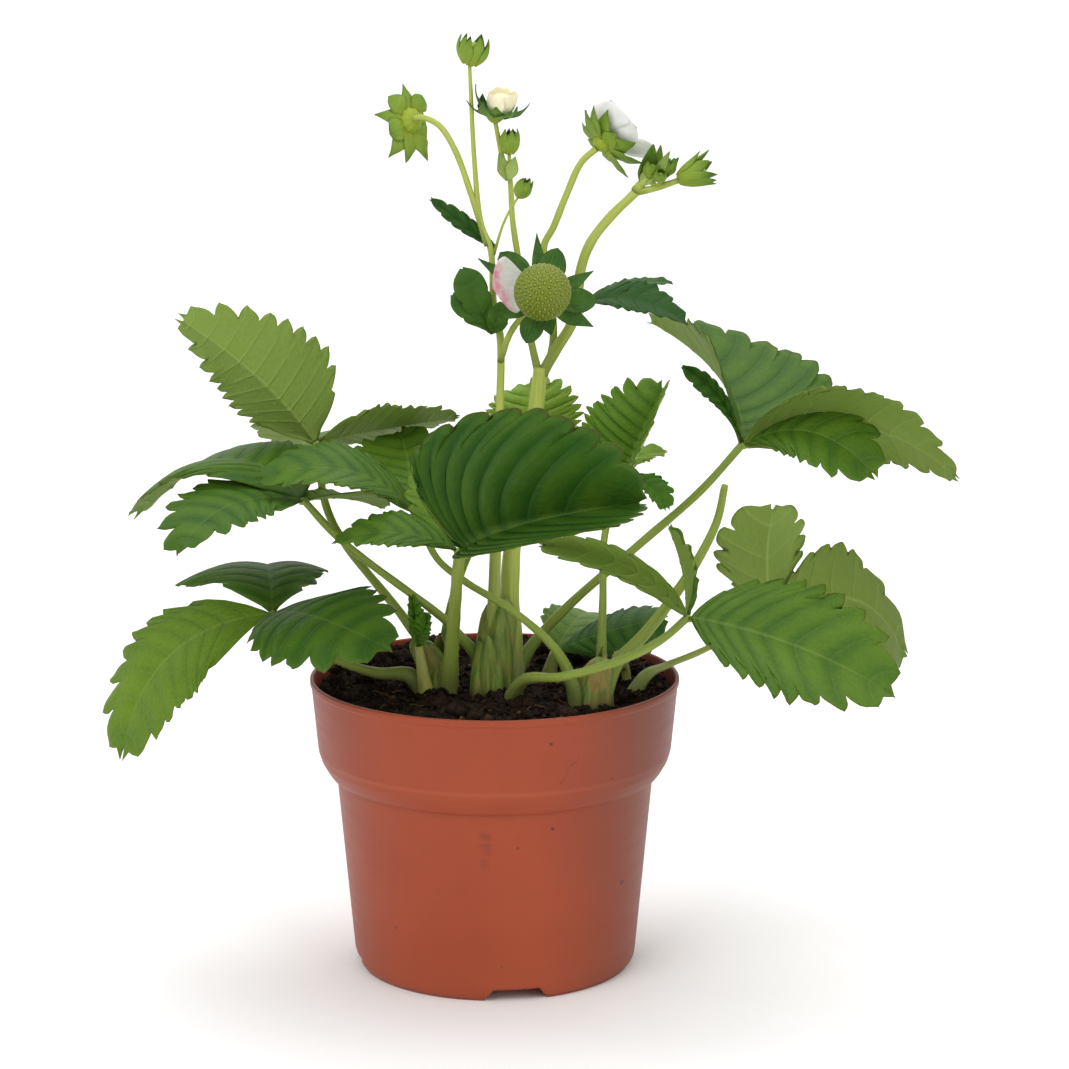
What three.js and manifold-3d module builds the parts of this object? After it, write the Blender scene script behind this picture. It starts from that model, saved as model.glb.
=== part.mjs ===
// A strawberry plant in a 12 cm nursery pot: trifoliate leaves on petioles, three
// crowns in soil, flower stems with bracts, buds, an open flower and a green fruit.
// Millimetres, +Z up; the origin is the middle of the pot's foot, on the ground.
import * as THREE from "three";
import { mergeVertices } from "three/addons/utils/BufferGeometryUtils.js";
import Module from "manifold-3d";

const wasm = await Module();
wasm.setup();

// Driving dimensions
const GAP = 0.3; // between pieces that touch
const POT_HEIGHT = 96;
const RIM_RADIUS = 60;
const FOOT_RADIUS = 46;
const COLLAR_BOTTOM = 71.6;
const COLLAR_RADIUS = 57.5;
const SHOULDER_Z = 65;
const SHOULDER_RADIUS = 52.4;
const WALL = 1.2;
const FLOOR_LIFT = 3.6;
const FOOT_PAD_RADIUS = 8;
const POT_SEGMENTS = 24; // round the pot and its soil
const NOTCH_COUNT = 4;
const NOTCH_TURN = 9.3; // degrees from the front to the nearest notch
const NOTCH = { top: 15, bottom: 21, height: 4, depth: 8 };
const SOIL_Z = 93.6;
const SOIL_LUMP = 1.1;
const BLADE_THICKNESS = 0.8;
const SEPAL_THICKNESS = 0.8;
const HUB_EXTRA = 0.2; // the knuckle where leaflets meet, past the radius of the petiole
const PETAL_THICKNESS = 0.6;
const TOOTH_TIP = 0.8; // where a tooth peaks, from one notch to the next
const FRUIT = { centre: [15.5, -18, 223.7], across: 9.4, along: 8.6 };
const FRUIT_AXIS = [0.05, -0.93, 0.36];

// A crown is a short woody stem; each petiole leaves it through a pale sheath.
const CROWNS = {
  left: { path: [[-19, -12, 84], [-19, -12, 97], [-19.5, -11.6, 105]], radius: [6.8, 5.2] },
  middle: { path: [[2, -15, 84], [2, -15, 98], [1.6, -13.5, 108]], radius: [9.2, 7] },
  right: { path: [[32, -31, 84], [32, -31, 96], [32, -30, 103]], radius: [7.2, 5.6] },
};
// Pointed stipules on each crown: turn in degrees, height of the foot and length.
const STIPULES = [
  { turn: 200, z: 99, length: 15 },
  { turn: 285, z: 98, length: 12 },
  { turn: 20, z: 100, length: 14 },
];

// Leaves: the route of the petiole ends at the hub where the leaflets meet. A
// leaflet has its tip, the direction its upper side faces, its width, the fold of
// each half, the bow of its midrib, its sideways sway and the curl of its halves.
const LEAVES = {
  upper_left: {
    path: [[-22.4, -10.6, 90], [-23, -9, 107], [-29, -6, 116], [-49, 2, 140], [-55, 8, 151], [-58, 12, 171]],
    radius: [1.9, 1.5],
    leaflets: [
      {
        tip: [-95, 1, 210], up: [0.28, 0.82, 0.5], width: 49, fold: 20, bow: -3, sway: 6,
        curl: -16, teeth: 8,
      },
      {
        tip: [-13, 20, 177], up: [-0.19, 0.47, 0.86], width: 35, fold: 4, bow: 1, sway: 1.5,
        curl: 5, teeth: 7,
      },
      { tip: [-67, 62, 158], up: [0, 0.15, 1], width: 38, fold: 12, bow: 4, teeth: 5 },
    ],
  },
  mid_left: {
    path: [[-3.4, -11.6, 90], [-6, -12, 105], [-11, -13, 112], [-16, -15, 118], [-48, -22, 145],
      [-60, -25, 159]],
    radius: [1.7, 1.4],
    leaflets: [
      {
        tip: [-117, 13, 148], up: [-0.16, 0.05, 0.99], width: 56, fold: 17, bow: 13, sway: -8,
        curl: -34, teeth: 7,
      },
      {
        tip: [-97, -51, 150], up: [-0.11, -0.18, 0.98], width: 41, fold: 6, bow: 5, sway: -2,
        curl: -14, teeth: 6,
      },
      { tip: [-37, 8, 150], up: [0, 0.05, 1], width: 24, fold: 10, bow: 2, teeth: 4 },
    ],
  },
  front: {
    path: [[-15.4, -14.4, 90], [-13, -24, 114], [-11, -42, 138], [-10, -45, 147]],
    radius: [2.1, 1.8],
    leaflets: [
      {
        tip: [41, -78, 169], rows: 2, up: [-0.61, -0.69, 0.39], width: 68, fold: 43, bow: 9, sway: 4, curl: 9,
        teeth: 9, quilt: 1.6, peak: 0.8, full: 0.5,
      },
      { tip: [-46, -52, 150], up: [0.1, -0.2, 0.97], width: 33, fold: 6, bow: 3, curl: -14, teeth: 6 },
      { tip: [-15, -17, 171], up: [-0.2, -0.75, 0.5], width: 27, fold: 15, bow: 3, teeth: 4 },
    ],
  },
  low_left: {
    path: [[-22, -15.6, 92], [-27, -16, 99.5], [-38, -14, 100], [-50, -13.5, 104], [-62, -15, 112],
      [-71, -14, 120]],
    radius: [1.8, 1.4],
    leaflets: [
      {
        tip: [-123, -23, 80], up: [-0.5, -0.43, 0.75], width: 53, fold: -5, bow: 15, sway: -4, curl: -29,
        droop: 2, teeth: 8,
      },
      {
        tip: [-79, 43, 124], up: [0.19, -0.04, 0.98], width: 59, fold: 2, bow: 7, sway: -2,
        curl: -42, teeth: 6,
      },
      {
        tip: [-32, -48, 120], up: [-0.27, -0.31, 0.91], width: 46, fold: 9, bow: 4, sway: -3.5,
        curl: -20, teeth: 7,
      },
    ],
  },
  upper_right: {
    path: [[3.5, -7.6, 90], [11, 0, 104], [24, 4, 118], [47, 6, 138], [67, 10, 155], [81, 14, 170]],
    radius: [1.9, 1.5],
    leaflets: [
      {
        tip: [55, 63, 202], up: [0.55, -0.24, 0.8], width: 64, fold: 30, bow: 2, sway: -4.5,
        curl: -10, teeth: 7,
      },
      {
        tip: [148, 7, 162], up: [0.16, 0.67, 0.73], width: 47, fold: 28, bow: 7, sway: 1.5,
        curl: -8, teeth: 8,
      },
      {
        tip: [119, -7, 165], up: [-0.05, -0.31, 0.95], width: 40, fold: 12, bow: 6, sway: 4,
        curl: -9, teeth: 6,
      },
      { tip: [62, 3, 196], up: [-0.3, -0.8, 0.5], width: 17, fold: 20, bow: 1, sway: -2, teeth: 4 },
    ],
  },
  low_right: {
    path: [[4.4, -21.4, 90], [10, -35, 103], [22, -47, 107], [41, -52, 114], [52, -49, 119], [61, -42, 125]],
    radius: [1.8, 1.5],
    leaflets: [
      {
        tip: [122, -53, 104], up: [0.22, -0.46, 0.86], width: 58, fold: 8, bow: 4, sway: 3,
        curl: -12, teeth: 7,
      },
      { tip: [57, -30, 151], up: [0.95, -0.3, 0.15], width: 20, fold: 35, bow: 2, teeth: 5 },
      {
        tip: [17, -36, 145], up: [0.15, -0.8, 0.55], width: 28, fold: 48, bow: 11, sway: 1,
        curl: 10, teeth: 5,
      },
    ],
  },
  young_right: {
    path: [[34.4, -27.4, 90], [34.4, -20, 104], [35, -10, 123], [36, 0, 144], [42, 4, 161]],
    radius: [1.6, 1.3],
    young: true,
    leaflets: [
      {
        tip: [53, 6, 188], up: [-0.66, -0.68, 0.33], width: 42, fold: 44, bow: 1, sway: -2, teeth: 7,
        quilt: 2, toothDepth: 0.12,
      },
      { tip: [65, -4, 150], up: [0.1, -0.75, 0.6], width: 22, fold: 10, bow: 2, teeth: 5, toothDepth: 0.12 },
      { tip: [62, 20, 171], up: [0.1, -0.5, 0.85], width: 14, fold: 15, bow: 1, teeth: 4, toothDepth: 0.12 },
    ],
  },
  young_back: {
    path: [[-16.6, -8, 90], [-16, -4, 108], [-14, -4, 120], [-8, -1, 137], [2, 8, 153], [11, 14, 164]],
    radius: [1.7, 1.3],
    young: true,
    leaflets: [
      {
        tip: [14, 25, 188], up: [-0.17, -0.89, 0.42], width: 32, fold: 12, bow: -1, teeth: 7,
        quilt: 1.2, full: 0.5,
      },
      { tip: [-9, 26, 174], up: [0.2, -0.5, 0.8], width: 18, fold: 15, bow: 2, teeth: 4 },
      { tip: [36, 27, 170], up: [-0.2, -0.4, 0.9], width: 18, fold: 15, bow: 2, teeth: 4 },
    ],
  },
  mid_front: {
    path: [[28, -32.6, 90], [21, -36, 111], [7, -32, 124], [-9, -27, 133], [-18, -24, 140], [-24, -22, 154]],
    radius: [1.6, 1.3],
    leaflets: [
      {
        tip: [-70, -32, 168], up: [0.3, -0.09, 0.95], width: 45, fold: 16, bow: 5, sway: -1,
        curl: -9, teeth: 7,
      },
      { tip: [-34, 18, 170], up: [0.1, -0.35, 0.93], width: 41, fold: 4, bow: 1, sway: -2.5, teeth: 6 },
      { tip: [-4, 2, 158], up: [0, -0.1, 1], width: 20, fold: 8, bow: 3, teeth: 4 },
    ],
  },
  far_right: {
    path: [[43, -21, 91], [48, -15, 98.4], [56, 0, 99], [67, 10, 101], [82, 24, 105], [93, 34, 109]],
    radius: [1.4, 1.15],
    leaflets: [
      {
        tip: [90, 8, 148], up: [0.3, 0.78, 0.55], width: 38, fold: 3, bow: -3, curl: -10, teeth: 5,
        toothDepth: 0.15, peak: 1.5, full: 0.5,
      },
      {
        tip: [133, 4, 101], up: [0.57, 0.6, 0.56], width: 56, fold: 14, bow: 9, sway: -2.5, curl: -11,
        teeth: 6, toothDepth: 0.1, full: 0.5,
      },
      { tip: [112, 86, 102], up: [0, 0.1, 1], width: 38, fold: 8, bow: 4, teeth: 5 },
    ],
  },
  low_back: {
    path: [[17, 4, 88], [18, 4, 96], [20, 4, 103]],
    radius: [1.5, 1.2],
    leaflets: [
      { tip: [56, 3, 112], up: [-0.28, -0.45, 0.85], width: 37, fold: -2, bow: 3, curl: -15, teeth: 6 },
      { tip: [31, 38, 108], up: [0.1, -0.2, 0.95], width: 22, fold: 8, bow: 3, teeth: 4 },
    ],
  },
};

// Flower stems: routes and radii of the branches that grow together as one piece.
const FLOWER_STEMS = {
  left: {
    branches: [
      {
        path: [[-0.8, -18, 90], [-0.4, -14, 110], [0, -13, 124], [1, -9, 156], [2, 0, 188], [2, 2, 207],
          [0, 2, 217], [-1, 2, 235], [-4, 2, 243], [-6, 3, 262], [-8, 4, 293]],
        radius: [2.5, 0.9], steps: 14,
      },
      {
        path: [[-2, 2, 236], [-7, 2, 252], [-12, 2, 266], [-17, 2, 274], [-22, 3, 276.5], [-25.5, 6, 276]],
        radius: [1.4, 1], steps: 7,
      },
      { path: [[0, 2, 233], [3, 0, 243], [6, -1, 249], [8, -1.5, 252]], radius: [0.6, 0.5], steps: 4 },
      {
        path: [[2, 1, 199], [5, -2, 208], [9, -4.5, 214], [14.7, -5.6, 218.6]],
        radius: [1.2, 1.2], steps: 4,
      },
    ],
  },
  right: {
    branches: [
      {
        path: [[5.8, -13.6, 90], [5.5, -8, 109], [5, -5, 122], [6, -1, 140], [9, 0, 154], [13, 2, 180],
          [15, 2, 197]],
        radius: [3.3, 2.7], steps: 8,
      },
      {
        path: [[14.5, 2, 194], [12, 2, 205], [10, 6, 215], [8, 6, 230], [6, 5, 244], [5, 5, 258], [3, 5, 263],
          [0.5, 5, 276]],
        radius: [1.9, 1.1], steps: 8,
      },
      {
        path: [[16, 2, 194], [19, 6, 205], [18, 10, 221], [16, 10, 235], [19, 10, 241], [23, 10, 251],
          [28, 9, 262], [32.6, 7.8, 266.3]],
        radius: [1.4, 1.1], steps: 8,
      },
      {
        path: [[15, 2, 194], [20, 2, 203], [25, 4, 211], [27, 5, 222], [28, 5, 229], [31, 4, 237],
          [37, 3, 245], [43, 2, 251], [46, 2, 254]],
        radius: [2.1, 1.5], steps: 8,
      },
      {
        path: [[45, 2, 253], [51, 0, 254.5], [55, -0.5, 255.8], [59.2, -0.8, 257.3]],
        radius: [1.1, 0.85], steps: 4,
      },
      { path: [[45, 2, 253.4], [47, 1, 256], [49.4, 0, 258.2]], radius: [1.2, 0.9], steps: 3 },
      { path: [[4.8, 5, 257], [5.9, 4, 261.5], [6.3, 3, 265]], radius: [0.9, 0.7], steps: 4 },
    ],
  },
};

// Calyxes: a cup at the end of a stem with sepals and narrower bractlets in turn.
const CALYXES = {
  nodding: {
    base: [-25.8, 6.3, 275.9], axis: [-0.72, 0.66, -0.2], cup: 2.6,
    count: 10, spread: [84, 98], length: [8.6, 8.2], width: [6, 3.4], bow: -0.8,
  },
  cream_bud: {
    base: [0.4, 5, 276.4], axis: [0.14, -0.2, 0.97], cup: 2,
    count: 10, spread: [46, 62], length: [8, 7], width: [4, 2.4], bow: -1.1,
  },
  open_flower: {
    base: [32.8, 7.7, 266.5], axis: [0.72, 0.3, 0.62], cup: 2.2,
    count: 10, spread: [82, 96], length: [11.5, 12.5], width: [5.4, 3], bow: -1.6,
  },
};
// Closed buds: the calyx of each stands round it like a small crown.
const BUDS = {
  top_bud: {
    base: [-8, 4.02, 293.4], axis: [0.12, -0.1, 1], cup: 2.3,
    count: 6, spread: [14, 24], length: [8.6, 7.4],
  },
  small_bud: {
    base: [8.25, -1.6, 252.3], axis: [0.45, -0.3, 0.84], cup: 1.3,
    count: 6, spread: [10, 20], length: [4.6, 3.9],
  },
  second_bud: {
    base: [6.35, 2.9, 265.35], axis: [0.1, -0.2, 0.98], cup: 1.5,
    count: 6, spread: [5, 12], length: [6.6, 5.6],
  },
  cluster_bud: {
    base: [49.6, -0.1, 258.5], axis: [0.35, -0.35, 0.87], cup: 1.7,
    count: 6, spread: [14, 40], length: [6.4, 6],
  },
  right_bud: {
    base: [59.6, -0.8, 257.4], axis: [0.86, -0.1, 0.5], cup: 2.1,
    count: 6, spread: [14, 42], length: [9, 8.6],
  },
};
// Petals: the foot where they join, how far they lean from the axis, and their size.
const OPEN_PETALS = {
  base: [36.93, 9.5, 270.2], axis: [0.72, 0.3, 0.62], ring: 1.7, count: 5, spread: 66, length: 12.5, width: 10,
  bow: -1.5, curl: 26,
};
const WRAPPED_PETALS = { base: [1.2, 3.9, 281.3], axis: [0.14, -0.2, 0.97], radius: 4.4, height: 8 };
const FLOWER_CENTRE = { at: [39.45, 10.6, 272.4], radius: 1.6 };
const LAST_PETAL = {
  base: [7.6, -11.8, 222], tip: [-2.5, -15, 226.5], up: [-0.35, -0.9, 0.1], width: 15,
  bow: -1, curl: 24, full: 0.45, columns: 6,
};
const FRUIT_CALYX_BASE = [15.05, -6.4, 219];
// Sepals round the fruit: turn about its axis in degrees, reach, width and rounding.
const FRUIT_SEPALS = [
  { turn: 134, reach: 16, width: 7, full: 0.45 },
  { turn: 95, reach: 17.5, width: 3.4, full: 0.9 },
  { turn: 70, reach: 14, width: 7.4, full: 0.45 },
  { turn: 20, reach: 17, width: 4, full: 0.9 },
  { turn: -12, reach: 17, width: 7, full: 0.45 },
  { turn: -38, reach: 19, width: 5, full: 0.8 },
  { turn: -73, reach: 13.5, width: 5, full: 0.7 },
  { turn: -103, reach: 17.5, width: 6.2, full: 0.55 },
  { turn: -146, reach: 16, width: 4, full: 0.9 },
  { turn: 157, reach: 20, width: 3.8, full: 0.9 },
];

// Bract leaves of the flower stems, each growing from one point of a stem.
const BRACTS = {
  upper: {
    hub: [0.6, 4.2, 235], stub: 0.7,
    leaflets: [{ tip: [-20, 10, 250], up: [-0.1, -0.95, 0.3], width: 9 }],
  },
  left: {
    hub: [-0.1, -0.3, 208.4], stub: 0.8,
    leaflets: [
      { tip: [-11, -6, 227], up: [-0.2, -0.8, 0.5], width: 11 },
      { tip: [-14, -4, 219], up: [-0.3, -0.7, 0.5], width: 9 },
      { tip: [2, -6, 221], up: [0.1, -0.85, 0.3], width: 9 },
    ],
  },
  right: {
    hub: [29.6, 4.6, 217.6], stub: 0.8,
    leaflets: [
      { tip: [57, 16, 223], up: [0, -0.25, 1], width: 14 },
      { tip: [61, -4, 214], up: [0.1, -0.35, 0.95], width: 20 },
    ],
  },
};

// A cut-off petiole, a shoot still curled in a knob, and a leaf just unfolding.
const CUT_PETIOLE = {
  path: [[33.6, -35.6, 90], [39, -27, 106], [47, -24, 114], [53, -22, 121], [59, -20, 129], [65, -18, 138],
    [71, -16, 150], [73.5, -16, 162]],
  radius: [2.6, 1.2],
};
const SHOOT = { path: [[42, -4, 88], [43, -3, 96], [42, -4, 101]], radius: [1.8, 1.4], steps: 5 };
const SHOOT_KNOB = { at: [41, -5, 101.5], radius: 2.6 };
const YOUNG_LEAF = {
  path: [[-25, -22, 90], [-26, -22, 100], [-27, -21, 108]], radius: [1.2, 0.9], steps: 5,
  leaflets: [
    { tip: [-30, -20, 123], up: [0.2, -1, 0.2], width: 9, fold: 38, teeth: 2 },
    { tip: [-23, -22, 118], up: [-0.4, -1, 0.2], width: 7, fold: 30, teeth: 2 },
  ],
};

const COLOURS = {
  terracotta: 0xa5523a,
  soil: 0x2a1c14,
  crown: 0xa8915a,
  petiole: 0x8fa83f,
  leaf: 0x4c7a30,
  youngLeaf: 0x7ba043,
  stem: 0xb4bf62,
  sepal: 0x6f9a3c,
  bract: 0x3f6b30,
  fruit: 0x97a030,
  petal: 0xeeebe4,
  cream: 0xe9e4b8,
  anther: 0xd8c24a,
};

// ---- solids ----

const vector = (p) => new THREE.Vector3(...p);
const { degToRad, lerp, clamp } = THREE.MathUtils;

function manifoldOf(positions, triangles) {
  const build = (order) =>
    new wasm.Manifold(
      new wasm.Mesh({
        numProp: 3,
        vertProperties: new Float32Array(positions),
        triVerts: new Uint32Array(order),
      }),
    );
  const solid = build(triangles);
  if (solid.volume() > 0) return solid;
  const flipped = [];
  for (let i = 0; i < triangles.length; i += 3) {
    flipped.push(triangles[i], triangles[i + 2], triangles[i + 1]);
  }
  return build(flipped);
}

// A closed three.js geometry as a solid: shared vertices merged, slivers dropped.
function solidOf(geometry, matrix = new THREE.Matrix4()) {
  const bare = geometry.clone();
  bare.deleteAttribute("normal");
  bare.deleteAttribute("uv");
  bare.applyMatrix4(matrix);
  const merged = mergeVertices(bare, 1e-3);
  const index = merged.index.array;
  const kept = [];
  for (let i = 0; i < index.length; i += 3) {
    const [a, b, c] = [index[i], index[i + 1], index[i + 2]];
    if (a !== b && b !== c && a !== c) kept.push(a, b, c);
  }
  return manifoldOf(merged.attributes.position.array, kept);
}

function fuse(solids) {
  return solids.reduce((whole, next) => whole.add(next));
}

// The largest body of a solid, without crumbs that a cut has left.
function mainBody(solid) {
  return solid.decompose().sort((a, b) => b.volume() - a.volume())[0];
}

// Rings of points, each with the same count, skinned in order and capped at both ends.
function skin(rings) {
  const around = rings[0].length;
  const last = (rings.length - 1) * around;
  const triangles = [];
  for (let j = 0; j < last; j += around) {
    for (let i = 0; i < around; i += 1) {
      const a = j + i;
      const b = j + ((i + 1) % around);
      triangles.push(a, b, b + around, a, b + around, a + around);
    }
  }
  for (let i = 1; i < around - 1; i += 1) {
    triangles.push(0, i + 1, i, last, last + i, last + i + 1);
  }
  const positions = rings.flat().flatMap((point) => point.toArray());
  return manifoldOf(positions, triangles);
}

function ball(centre, radius, segments = 8) {
  const shape = new THREE.SphereGeometry(radius, segments, Math.ceil(segments * 0.6));
  return solidOf(shape, new THREE.Matrix4().makeTranslation(...centre));
}

// A round stem along a smooth curve, thinning from radius[0] to radius[1].
// It stops `short` of the end of its route.
function stemSolid({ path, radius, steps = 7, sides = 5, short = 0 }, extra = 0) {
  const curve = new THREE.CatmullRomCurve3(path.map(vector), false, "centripetal");
  const end = 1 - short / curve.getLength();
  const normal = new THREE.Vector3(0.9, 0.3, 0.2);
  const rings = [];
  for (let i = 0; i <= steps; i += 1) {
    const centre = curve.getPointAt((end * i) / steps);
    const tangent = curve.getTangentAt((end * i) / steps);
    normal.projectOnPlane(tangent).normalize();
    const binormal = new THREE.Vector3().crossVectors(tangent, normal);
    rings.push(circle(centre, normal, binormal, sides, lerp(radius[0], radius[1], i / steps) + extra));
  }
  return skin(rings);
}

function circle(centre, right, upward, sides, radius) {
  return Array.from({ length: sides }, (_, k) => {
    const turn = (2 * Math.PI * k) / sides;
    return centre
      .clone()
      .addScaledVector(right, radius * Math.cos(turn))
      .addScaledVector(upward, radius * Math.sin(turn));
  });
}

// Across a tooth, phase 0 is the notch and TOOTH_TIP the point.
function bladeColumns(teeth, plainColumns, bare) {
  const columns = [{ u: 0, height: 0 }];
  if (teeth === 0) {
    for (let i = 1; i <= plainColumns; i += 1) columns.push({ u: i / plainColumns, height: 0 });
    return columns;
  }
  for (let k = 0; k < teeth; k += 1) {
    const start = bare + ((1 - bare) * k) / teeth;
    columns.push({ u: start, height: -0.62 });
    columns.push({ u: start + ((1 - bare) * TOOTH_TIP) / teeth, height: 0.38 });
  }
  columns.push({ u: 1, height: 0.38 });
  return columns;
}

// A leaflet, sepal or petal: a thin folded sheet along a bowed midrib. Its half width
// is width/2 * sin(pi * u^peak)^full * (1 - exp(-u / wedge)), pushed in and out by the
// teeth; its rows run from the midrib to the edge along the side veins.
function bladeSolid(base, spec, thickness = BLADE_THICKNESS) {
  const { tip, up, width, fold = 0, bow = 0, sway = 0, curl = 0, droop = 0, teeth = 0 } = spec;
  const { quilt = 0.9, peak = 1.12, full = 0.6, toothDepth = 0.1, rows = 1, start = 0.8 } = spec;
  const { columns: plain = 4, bare = 0.16, wedge = 0.12 } = spec;
  const from = vector(base);
  const length = vector(tip).distanceTo(from);
  const along = vector(tip).sub(from).normalize();
  const above = vector(up).projectOnPlane(along).normalize();
  const aside = new THREE.Vector3().crossVectors(above, along);
  const midrib = (s) => {
    const arch = 4 * s * (1 - s);
    return from
      .clone()
      .addScaledVector(along, length * s)
      .addScaledVector(above, bow * arch - droop * s ** 3)
      .addScaledVector(aside, sway * arch);
  };
  const columns = bladeColumns(teeth, plain, bare);
  const upper = [];
  const lower = [];
  for (let row = -rows; row <= rows; row += 1) {
    const a = Math.abs(row) / rows;
    const side = Math.sign(row);
    for (const { u, height } of columns) {
      const outline = (Math.sin(Math.PI * Math.min(u, 1) ** peak) ** full || 0) * (1 - Math.exp(-u / wedge));
      const half = Math.max((width / 2) * outline, start);
      const reach = toothDepth * width * Math.min(1, 0.55 + 0.9 * Math.sin(Math.PI * u));
      const outer = u + 0.03 * Math.sin(2 * Math.PI * u);
      const inner = u - 0.24 * Math.sin(Math.PI * u);
      const lean = height > 0 ? (0.55 * a ** 4 * reach * (1 - u) ** 0.3) / length : 0;
      const s = clamp(inner + (outer - inner) * a ** 0.85 + lean, 0, 1.1);
      const end = Math.sin(Math.PI * Math.min(u, 1) ** peak) ** 0.5 || 0;
      const r = a * half + (teeth ? a ** 4 * reach * height * end : 0);
      const point = midrib(s);
      const tangent = midrib(s + 0.001).sub(midrib(s - 0.001)).normalize();
      const normal = above.clone().projectOnPlane(tangent).normalize();
      const across = new THREE.Vector3().crossVectors(normal, tangent);
      const angle = degToRad(fold + (curl * a) / 2);
      const ridge = teeth && height < 0 ? quilt * Math.sin(Math.PI * a) * Math.sin(Math.PI * u) ** 0.5 : 0;
      point
        .addScaledVector(across, side * r * Math.cos(angle))
        .addScaledVector(normal, r * Math.sin(angle) + ridge);
      const face = normal
        .clone()
        .multiplyScalar(Math.cos(angle))
        .addScaledVector(across, -side * Math.sin(angle))
        .normalize()
        .multiplyScalar(thickness / 2);
      if (row === 0) face.copy(normal).multiplyScalar(thickness / 2 / Math.cos(angle));
      upper.push(point.clone().add(face));
      lower.push(point.clone().sub(face));
    }
  }
  return sheetSolid(upper, lower, columns.length, 2 * rows + 1);
}

// Two matching grids of points, joined round their edge.
function sheetSolid(upper, lower, across, down) {
  const positions = [];
  [...upper, ...lower].forEach((p) => positions.push(p.x, p.y, p.z));
  const offset = upper.length;
  const triangles = [];
  for (let j = 0; j < down - 1; j += 1) {
    for (let i = 0; i < across - 1; i += 1) {
      const a = j * across + i;
      const [b, c, d] = [a + 1, a + across + 1, a + across];
      const quad = (j < (down - 1) / 2) ? [a, b, d, b, c, d] : [a, b, c, a, c, d];
      triangles.push(...quad);
      for (let k = 0; k < 6; k += 3) {
        triangles.push(quad[k] + offset, quad[k + 2] + offset, quad[k + 1] + offset);
      }
    }
  }
  const edge = [];
  for (let i = 0; i < across; i += 1) edge.push(i);
  for (let j = 1; j < down; j += 1) edge.push(j * across + across - 1);
  for (let i = across - 2; i >= 0; i -= 1) edge.push((down - 1) * across + i);
  for (let j = down - 2; j > 0; j -= 1) edge.push(j * across);
  edge.forEach((a, i) => {
    const b = edge[(i + 1) % edge.length];
    triangles.push(b, a, a + offset, b, a + offset, b + offset);
  });
  return manifoldOf(positions, triangles);
}

// A pointed scale with a ridge on both sides, in rings of four points; a station is
// its place from the foot to the tip and its share of the width.
function sepalSolid(base, { tip, up, width, bow = 0, thickness = SEPAL_THICKNESS, stations }) {
  const from = vector(base);
  const length = vector(tip).distanceTo(from);
  const along = vector(tip).sub(from).normalize();
  const above = vector(up).projectOnPlane(along).normalize();
  const aside = new THREE.Vector3().crossVectors(above, along);
  const shape = [...(stations ?? [[0, 0.22], [0.45, 1]]), [1, 0.08]];
  const rings = shape.map(([u, share]) => {
    const centre = from
      .clone()
      .addScaledVector(along, length * u)
      .addScaledVector(above, 4 * bow * u * (1 - u));
    return [[1, 0.25], [0, 0.5], [-1, 0.25], [0, -0.5]].map(([across, raise]) =>
      centre
        .clone()
        .addScaledVector(aside, (across * share * width) / 2)
        .addScaledVector(above, raise * thickness * (u < 1 ? 1 : 0.4)),
    );
  });
  return skin(rings);
}

// ---- pot and soil ----

function potSolid() {
  const outer = [
    [FOOT_RADIUS - 1.6, 0],
    [FOOT_RADIUS, 3],
    [SHOULDER_RADIUS - 0.4, SHOULDER_Z - 2],
    [SHOULDER_RADIUS + 0.6, SHOULDER_Z + 0.4],
    [COLLAR_RADIUS - 1.6, COLLAR_BOTTOM - 3],
    [COLLAR_RADIUS, COLLAR_BOTTOM],
    [RIM_RADIUS - 0.2, POT_HEIGHT - 2.2],
    [RIM_RADIUS + 0.2, POT_HEIGHT - 1.8],
    [RIM_RADIUS + 0.1, POT_HEIGHT],
  ];
  const inner = [
    [RIM_RADIUS - WALL, POT_HEIGHT],
    [COLLAR_RADIUS - WALL, COLLAR_BOTTOM],
    [SHOULDER_RADIUS - WALL, SHOULDER_Z],
    [FOOT_RADIUS - WALL, FLOOR_LIFT + WALL],
    [0, FLOOR_LIFT + WALL],
  ];
  const under = [
    [0, 0],
    [FOOT_PAD_RADIUS, 0],
    [FOOT_PAD_RADIUS + 1, FLOOR_LIFT],
    [FOOT_RADIUS - 3.2, FLOOR_LIFT],
    [FOOT_RADIUS - 2.8, 0],
  ];
  const profile = [...under, ...outer, ...inner].map(([r, z]) => new THREE.Vector2(r, z));
  const upright = new THREE.Matrix4().makeRotationX(Math.PI / 2);
  const body = solidOf(new THREE.LatheGeometry(profile, POT_SEGMENTS), upright);
  return body.subtract(fuse(notches()));
}

// Drainage notches through the foot ring, narrower at the top.
function notches() {
  const half = [NOTCH.bottom / 2, NOTCH.top / 2];
  const shape = new THREE.Shape([
    new THREE.Vector2(-half[0], -1),
    new THREE.Vector2(half[0], -1),
    new THREE.Vector2(half[1], NOTCH.height),
    new THREE.Vector2(-half[1], NOTCH.height),
  ]);
  const cutter = new THREE.ExtrudeGeometry(shape, { depth: NOTCH.depth, bevelEnabled: false });
  cutter.rotateX(Math.PI / 2);
  cutter.translate(0, -(FOOT_RADIUS - NOTCH.depth + 2), 0);
  return Array.from({ length: NOTCH_COUNT }, (_, i) => {
    const turn = degToRad(NOTCH_TURN + (360 * i) / NOTCH_COUNT);
    return solidOf(cutter, new THREE.Matrix4().makeRotationZ(turn));
  });
}

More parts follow.
